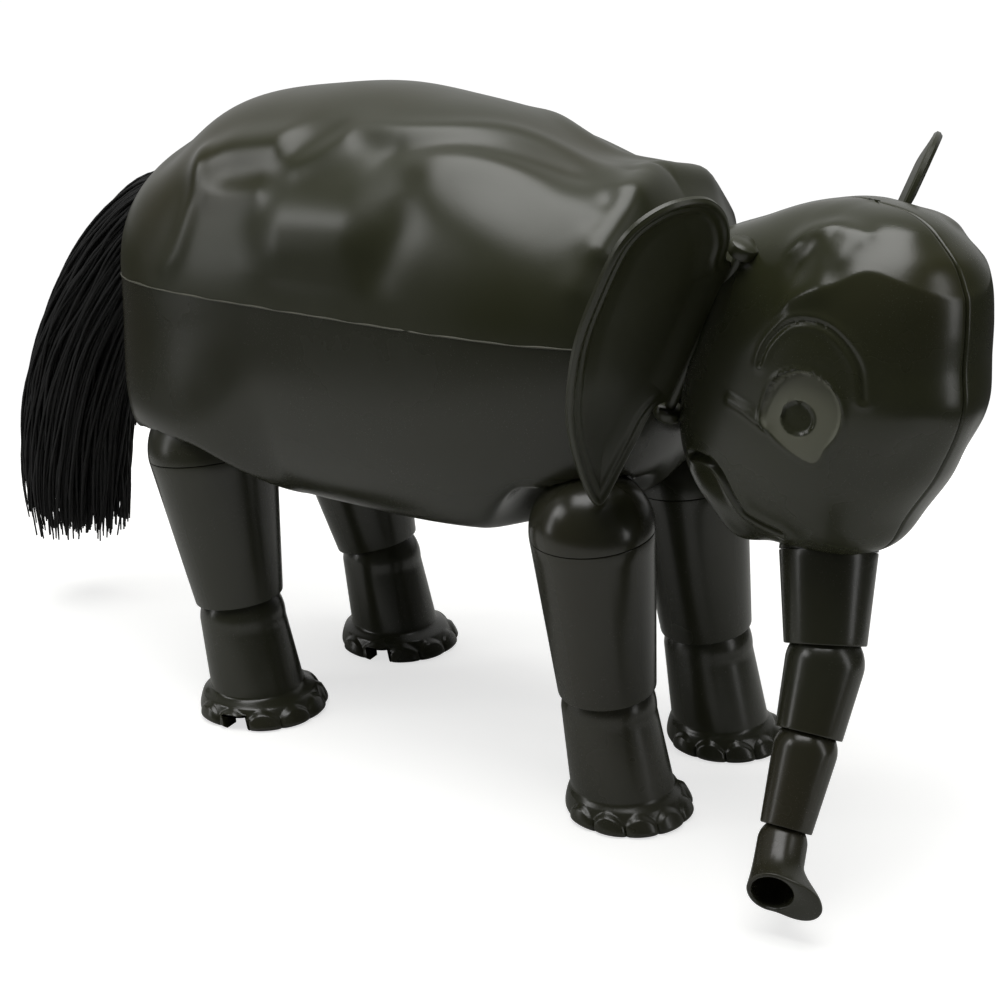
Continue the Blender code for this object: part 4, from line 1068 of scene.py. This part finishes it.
def toe_swell(angle, down):
    """Rounded nails round the front of the foot, by azimuth and share of the way down."""
    turned_to = np.arctan2(np.sin(angle), np.cos(angle))
    across = 2 * np.abs(turned_to / TOE_STEP - np.floor(turned_to / TOE_STEP) - 0.5)
    top = 0.26 + 0.30 * across**2
    swell = smooth_step(0.0, 0.16, down - top) * np.sqrt(np.maximum(1 - across**2.5, 0.0))
    swell = swell * (1 - 0.5 * smooth_step(0.80, 1.0, down))
    return np.where(np.abs(turned_to) < TOES_EACH_SIDE * TOE_STEP, swell, 0.0)


def lower_leg_grid(reaches, knee_height, notched):
    """Dome, leaning shaft and a flared foot with rounded toes, hollow from the sole up."""
    ahead, back, aside = reaches
    angle = np.linspace(0.0, 2 * math.pi, 240, endpoint=False)
    half_notch = math.asin(NOTCH_WIDTH / 2 / aside)
    if notched:
        edges = [NOTCH_AZIMUTH + sign * half_notch + step for sign in (-1, 1) for step in (-0.001, 0.001)]
        angle = np.sort(np.concatenate([angle, np.mod(edges, 2 * math.pi)]))
    off_notch = np.abs(np.arctan2(np.sin(angle - NOTCH_AZIMUTH), np.cos(angle - NOTCH_AZIMUTH)))
    in_notch = notched & (off_notch < half_notch)
    forward = np.where(np.cos(angle) > 0, ahead, back)
    outline = 1 / np.hypot(np.cos(angle) / forward, np.sin(angle) / aside)
    ankle = -(knee_height - ANKLE_HEIGHT)
    rows = []

    def add(z, radius):
        z = np.where(in_notch, max(z, NOTCH_HEIGHT - knee_height), z)
        lean = np.maximum(-z, 0.0) * math.tan(LOWER_LEAN)
        rows.append(np.stack([lean + radius * np.cos(angle), radius * np.sin(angle), z], axis=1))

    for radius, z in arc(KNEE_RADIUS, hole_angle(KNEE_RADIUS), 0.0, 30):
        add(z, radius)
    for share in np.linspace(0.0, 1.0, 12)[1:]:
        add(ankle * share, KNEE_RADIUS + (ANKLE_RADIUS - KNEE_RADIUS) * share)
    for down in np.linspace(0.0, 1.0, 40)[1:]:
        blend = smooth_step(0.0, 0.30, down)
        grown = outline * curve_through(FOOT_SHARES, down)[0]
        swelled = (1 - blend) * ANKLE_RADIUS + blend * grown + TOE_SIZE * toe_swell(angle, down)
        add(ankle - down * ANKLE_HEIGHT, swelled)
    add(-knee_height, ANKLE_RADIUS - SOLE_STEP)
    add(ankle, ANKLE_RADIUS - TUBE_WALL)
    inner = KNEE_RADIUS - TUBE_WALL
    for radius, z in arc(inner, 0.0, hole_angle(inner), 12):
        add(z, radius)
    return np.array(rows)


def add_tube(name, body, node, grid, place):
    """A closed, turned moulding in the dark plastic."""
    piece = grid_object(name + "_moulding", [grid], True, True)
    add_piece(piece, body, DARK_OLIVE, [node], place)


def make_legs(segments=128):
    for name, (hip, heading, knee, radius) in LEGS.items():
        place = Matrix.Translation(hip) @ turn_to(heading)
        cap = turned_grid(cap_profile(radius), segments)
        add_tube(name + "_cap", name + "_hip", name + "_hip_cap", cap, place)
        profile = tube_profile(radius, UPPER_FOOT_RADIUS, UPPER_LENGTH, TUBE_WALL)
        upper = name + "_upper"
        add_tube(upper, upper, upper + "_leg", turned_grid(profile, segments), place)
        end = name.split("_")[0]
        grid = lower_leg_grid(FOOT_REACHES[end], knee.z, end == "rear")
        lower = name + "_lower"
        add_tube(lower, lower, lower + "_leg", grid, Matrix.Translation(knee))


# Neck and trunk.
TRUNK_POINTS = [pivot("trunk_swing")] + [pivot("trunk_bend_%d" % i) for i in (1, 2, 3)]
TRUNK_AXES = [(after - before).normalized() for before, after in zip(TRUNK_POINTS, TRUNK_POINTS[1:])]
TRUNK_AXES.append(
    Vector(
        (
            math.sin(TIP_LEAN) * math.cos(TIP_HEADING),
            math.sin(TIP_LEAN) * math.sin(TIP_HEADING),
            -math.cos(TIP_LEAN),
        )
    )
)


def trunk_frame(index):
    axis = TRUNK_AXES[index]
    side = axis.cross(Vector((0, 0, 1))).normalized()
    front = side.cross(axis).normalized()
    return Matrix.Translation(TRUNK_POINTS[index]) @ Matrix((side, front, -axis)).transposed().to_4x4()


def rim_height(dome_radius, rim_inner_radius):
    return math.sqrt((dome_radius + RUNNING_GAP) ** 2 - rim_inner_radius**2)


def tip_grid(count=120):
    """The last piece: a dome, a bent sleeve, and a round mouth with a lobe beside it."""
    radius = TRUNK_DOME_RADII[3]
    inner = radius - TRUNK_WALL
    bore = TIP_MOUTH_RADIUS - TRUNK_WALL
    angle = np.linspace(0.0, 2 * math.pi, count, endpoint=False)

    def disc(r, z):
        return np.stack([r * np.cos(angle), r * np.sin(angle), np.full(count, z)], axis=1)

    def section(share, size, lobed=1.0):
        bend = TIP_BEND * share * share
        centre = np.array([0.0, math.sin(bend / 2) * TIP_LENGTH * share, -TIP_LENGTH * share])
        grown = lobed * float(smooth_step(TIP_LOBE_START_SHARE, 1.0, share))
        lobe = np.maximum(np.cos(angle - TIP_LOBE_AZIMUTH), 0.0) ** 3 * grown
        r = size + lobe * TIP_LOBE
        ring = np.stack([r * np.cos(angle), r * np.sin(angle), -lobe * TIP_LOBE_DIP], axis=1)
        return ring @ np.array(Matrix.Rotation(bend, 3, "X")).T + centre

    rows = [disc(r, z) for r, z in arc(radius, hole_angle(radius), 0.0, 20)]
    for share in np.linspace(0.0, 0.97, 28)[1:]:
        flare = float(smooth_step(0.40, 1.05, share))
        rows.append(section(share, radius + (TIP_MOUTH_RADIUS - radius) * flare))
    rows.append(section(0.99, TIP_MOUTH_RADIUS - RIM_ROUNDING / 2))
    rows.append(section(1.0, TIP_MOUTH_RADIUS - 2 * RIM_ROUNDING))
    rows.append(section(1.0, bore + 2 * RIM_ROUNDING, 0.35))
    rows.append(section(1.0, bore + RIM_ROUNDING, 0.0))
    rows.append(section(0.98, bore, 0.0))
    for share in np.linspace(0.9, TIP_HOLLOW_SHARE, 8):
        widened = float(smooth_step(TIP_HOLLOW_SHARE, 1.0, share))
        rows.append(section(share, inner + (bore - inner) * widened, 0.0))
    rows += [disc(r, z) for r, z in arc(inner, 0.0, hole_angle(inner), 8)]
    return np.array(rows)


def make_trunk(segments=96):
    radius = TRUNK_DOME_RADII[0]
    inner = radius - TRUNK_WALL
    spigot = inner - RUNNING_GAP
    bore = spigot - TRUNK_WALL
    profile = arc(radius, hole_angle(radius), 0.0, 24)
    profile += [(spigot, 0.0), (spigot, -TRUNK_SPIGOT), (bore, -TRUNK_SPIGOT)]
    profile += arc(inner, math.acos(bore / inner), hole_angle(inner), 12)
    add_tube("trunk_cap", "trunk_cap", "trunk_cap", turned_grid(profile, segments), trunk_frame(0))
    for index in range(3):
        top, rim = TRUNK_DOME_RADII[index], TRUNK_RIM_RADII[index]
        step = (TRUNK_POINTS[index + 1] - TRUNK_POINTS[index]).length
        length = step - rim_height(TRUNK_DOME_RADII[index + 1], rim - TRUNK_WALL)
        profile = tube_profile(top, rim, length, TRUNK_WALL, head=index > 0)
        if index:
            inner = top - TRUNK_WALL
            dome = arc(top, hole_angle(top), 0.0, 24)
            profile = dome + profile[:-1] + arc(inner, 0.0, hole_angle(inner), 12)
        body = "trunk_%d" % (index + 1)
        node = "trunk_tube_%d" % (index + 1)
        add_tube(body, body, node, turned_grid(profile, segments), trunk_frame(index))
    add_tube("trunk_tip", "trunk_tip", "trunk_tip", tip_grid(), trunk_frame(3))


def make_neck():
    profile = arc(NECK_RADIUS, hole_angle(NECK_RADIUS), -hole_angle(NECK_RADIUS), 60)
    place = HEAD_MATRIX @ Matrix.Rotation(math.pi / 2, 4, "Y")
    add_tube("neck_ball", "neck", "neck_ball", turned_grid(profile, 96), place)


# Tail: strands of plied yarn down a hank. Along it: how far back and down, and its girth.
TAIL_SHARES = (
    (0.00, 0.00, 0.00, 0.10),
    (0.06, 0.05, -0.01, 0.35),
    (0.17, 0.22, 0.05, 0.62),
    (0.33, 0.48, 0.20, 0.84),
    (0.51, 0.72, 0.38, 0.98),
    (0.66, 0.88, 0.56, 1.04),
    (0.79, 0.96, 0.72, 1.05),
    (0.90, 0.99, 0.86, 1.03),
    (1.00, 1.00, 1.00, 0.95),
)
TAIL_STRANDS = 700
TAIL_STRAND_RADIUS = 0.00062


def make_tail(points=30):
    chance = random.Random(7)
    root = pivot("tail_sway")
    curve = round_curve("tail_yarn", TAIL_STRAND_RADIUS, 1)
    at = np.linspace(0.0, 1.0, points)
    back, fall, girth = curve_through(TAIL_SHARES, at)
    middle = np.stack([-back * TAIL_BACK, np.zeros(points), -fall * TAIL_FALL], axis=1)
    run = np.gradient(middle, axis=0)
    run /= np.linalg.norm(run, axis=1, keepdims=True)
    lift = np.stack([-run[:, 2], np.zeros(points), run[:, 0]], axis=1)
    for _ in range(TAIL_STRANDS):
        angle = chance.uniform(0.0, 2 * math.pi)
        share = math.sqrt(chance.uniform(0.02, 0.94))
        reach = chance.uniform(0.93, 1.0) if chance.random() < 0.8 else chance.uniform(0.74, 0.93)
        wave, turn, phase = chance.uniform(0.2, 1.0), chance.uniform(1.0, 3.5), chance.uniform(0.0, 6.3)
        lay = angle + 0.45 * at
        radius = girth * TAIL_RADIUS * share * 0.95
        ripple = 0.0011 * wave * np.sin(2 * math.pi * turn * at + phase) * np.minimum(at * 4, 1.0)
        line = middle + lift * (radius * np.sin(lay) + ripple)[:, None]
        line[:, 1] += radius * np.cos(lay) + ripple
        line = np.stack([np.interp(at * reach, at, line[:, k]) for k in range(3)], axis=1)
        spline = curve.splines.new("POLY")
        spline.points.add(points - 1)
        for target, place, far in zip(spline.points, line, at):
            target.co = (root.x + place[0], root.y + place[1], root.z + place[2], 1.0)
            target.radius = 1.0 - 0.45 * float(smooth_step(0.85, 1.0, far))
    piece = linked("tail_yarn", curve)
    curve.materials.append(YARN)
    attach(piece, "tail")
    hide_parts("tail_hank")
    knot = frame["nodes"]["tail_knot"]
    knot.data.materials.clear()
    knot.data.materials.append(YARN)


def knot_loop(centre, points=40):
    """A trefoil of cord round a centre, which stays inside the knot's radius."""
    reach = KNOT_RADIUS - CORD_RADIUS
    turn = np.linspace(0.0, 2 * math.pi, points, endpoint=False)
    x = (np.sin(turn) + 2 * np.sin(2 * turn)) / 3
    y = (np.cos(turn) - 2 * np.cos(2 * turn)) / 3
    return np.stack([x, y, -0.6 * np.sin(3 * turn)], axis=1) * reach + np.array(centre)


def cord_piece(name, body, route, knots=(), nodes=()):
    """A length of elastic cord and its knots inside one tube, moving with that tube."""
    row = [Vector(route[0])]
    for before, after in zip(route, route[1:]):
        steps = max(int((after - before).length / CORD_STEP), 1)
        row += [before.lerp(after, (i + 1) / steps) for i in range(steps)]
    curve = round_curve(name, CORD_RADIUS, 3)
    for run in [row] + [knot_loop(knot) for knot in knots]:
        spline = curve.splines.new("POLY")
        spline.points.add(len(run) - 1)
        spline.use_cyclic_u = run is not row
        for target, place in zip(spline.points, run):
            target.co = (*place, 1.0)
    guide = linked(name + "_guide", curve)
    bpy.context.view_layer.update()
    graph = bpy.context.evaluated_depsgraph_get()
    mesh = bpy.data.meshes.new_from_object(guide.evaluated_get(graph))
    bpy.data.objects.remove(guide)
    mesh.polygons.foreach_set("use_smooth", [True] * len(mesh.polygons))
    mesh.materials.clear()
    mesh.materials.append(STRING)
    piece = linked(name, mesh)
    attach(piece, body)
    if nodes:
        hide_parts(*nodes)


def make_leg_cords():
    up = Vector((0, 0, 1))
    for name, (hip, heading, knee, radius) in LEGS.items():
        top = hip - heading * (radius + RUNNING_GAP + SHELL_WALL + SEAT_GAP + KNOT_RADIUS)
        foot = knee + up * (KNEE_RADIUS - TUBE_WALL - KNOT_RADIUS - SEAT_GAP)
        under_cap = hip - heading * (radius - 2 * CAP_WALL)
        over_knee = knee + up * (KNEE_RADIUS + TUBE_WALL)
        upper, lower = name + "_upper", name + "_lower"
        cord_piece(upper + "_elastic", upper, [top, under_cap, over_knee], [top], [name + "_leg_cord"])
        cord_piece(lower + "_elastic", lower, [over_knee, foot], [foot])


def make_trunk_cord():
    lift = TRUNK_DOME_RADII[0] + RUNNING_GAP + SHELL_WALL + SEAT_GAP + KNOT_RADIUS
    top = TRUNK_POINTS[0] - lift * TRUNK_AXES[0]
    joints = list(zip(TRUNK_POINTS, TRUNK_AXES, TRUNK_DOME_RADII))[1:]
    over = [point - axis * (radius + TRUNK_WALL) for point, axis, radius in joints]
    inside = [point - axis * (radius - 2 * TRUNK_WALL) for point, axis, radius in joints]
    foot = TRUNK_POINTS[3] - TRUNK_AXES[3] * (TRUNK_DOME_RADII[3] - TRUNK_WALL - KNOT_RADIUS - SEAT_GAP)
    end = TRUNK_POINTS[3] + TRUNK_AXES[3] * STRING_END
    cord_piece("trunk_1_string", "trunk_1", [top, TRUNK_POINTS[0], over[0]], [top])
    cord_piece("trunk_2_string", "trunk_2", [over[0], inside[0], over[1]])
    cord_piece("trunk_3_string", "trunk_3", [over[1], inside[1], over[2]])
    cord_piece("trunk_tip_string", "trunk_tip", [over[2], foot, end], [foot], ["trunk_cord"])


def finish_cords():
    carried = frame["nodes"]["neck_cord"]
    carried.data.materials.clear()
    carried.data.materials.append(STRING)


# Stage.
def make_camera():
    data = bpy.data.cameras.new("camera")
    data.sensor_fit = "HORIZONTAL"
    data.sensor_width = 36.0
    data.lens = CAMERA_LENS
    data.clip_start = 0.01
    data.clip_end = 20.0
    camera = linked("camera", data)
    camera.location = CAMERA_PLACE
    camera.rotation_euler = (math.pi / 2 - CAMERA_PITCH, 0.0, CAMERA_YAW)
    bpy.context.scene.camera = camera


def area_light(name, place, width, depth, watts):
    data = bpy.data.lights.new(name, "AREA")
    data.shape = "RECTANGLE"
    data.size = width
    data.size_y = depth
    data.energy = watts
    lamp = linked(name, data)
    lamp.location = place
    aim = Vector(STAGE_MIDDLE) - Vector(place)
    lamp.rotation_euler = aim.to_track_quat("-Z", "Y").to_euler()


def make_floor():
    """A sheet of pale paper on a dark table, lifted to white for the camera further off."""
    corners = [(x, y, 0.0) for x, y in ((-1, -1), (1, -1), (1, 1), (-1, 1))]
    floor = mesh_object("floor", corners, [(0, 1, 2, 3)], smooth=False, merge=False)
    floor.scale = (FLOOR_REACH, FLOOR_REACH, 1.0)
    made, tree, shader, place = new_material("pale_floor")
    shader.inputs["Roughness"].default_value = 0.9
    shader.inputs["Emission Color"].default_value = (1.0, 1.0, 1.0, 1.0)
    size = tree.nodes.new("ShaderNodeVectorMath")
    size.operation = "LENGTH"
    tree.links.new(place, size.inputs[0])
    sheet = ramp(tree, size.outputs["Value"], *(reach / FLOOR_REACH for reach in PAPER_EDGE))
    tree.links.new(mix_colour(tree, sheet, PAPER_COLOUR, TABLE_COLOUR), shader.inputs["Base Color"])
    lifted = [reach / FLOOR_REACH for reach in FLOOR_LIFT_REACH]
    far = ramp(tree, size.outputs["Value"], *lifted, FLOOR_LIFT, 1.0)
    seen = tree.nodes.new("ShaderNodeLightPath").outputs["Is Camera Ray"]
    tree.links.new(combine(tree, "MULTIPLY", far, seen), shader.inputs["Emission Strength"])
    floor.data.materials.append(made)


def make_room():
    """A dim room for the plastic to mirror, white where the camera looks past the floor."""
    world = bpy.data.worlds.new("studio")
    bpy.context.scene.world = world
    world.use_nodes = True
    tree = world.node_tree
    shader = tree.nodes["Background"]
    shader.inputs["Color"].default_value = (1.0, 1.0, 1.0, 1.0)
    behind = tree.nodes.new("ShaderNodeVectorMath")
    behind.operation = "DOT_PRODUCT"
    behind.inputs[1].default_value = BACKDROP_SIDE
    tree.links.new(tree.nodes.new("ShaderNodeTexCoord").outputs["Generated"], behind.inputs[0])
    room = ramp(tree, behind.outputs["Value"], *BACKDROP_EDGE, ROOM_LEVEL, BACKDROP_LEVEL)
    seen = tree.nodes.new("ShaderNodeLightPath").outputs["Is Camera Ray"]
    tree.links.new(combine(tree, "MAXIMUM", room, seen), shader.inputs["Strength"])


def make_lamps():
    for name, values in LAMPS.items():
        area_light(name, *values)


bpy.context.scene.view_settings.view_transform = "Standard"

make_camera()
make_floor()
make_room()
make_lamps()
make_body()
make_seam_flash()
make_head()
make_ears()
make_legs()
make_neck()
make_trunk()
make_tail()
make_leg_cords()
make_trunk_cord()
finish_cords()

bpy.context.view_layer.update()
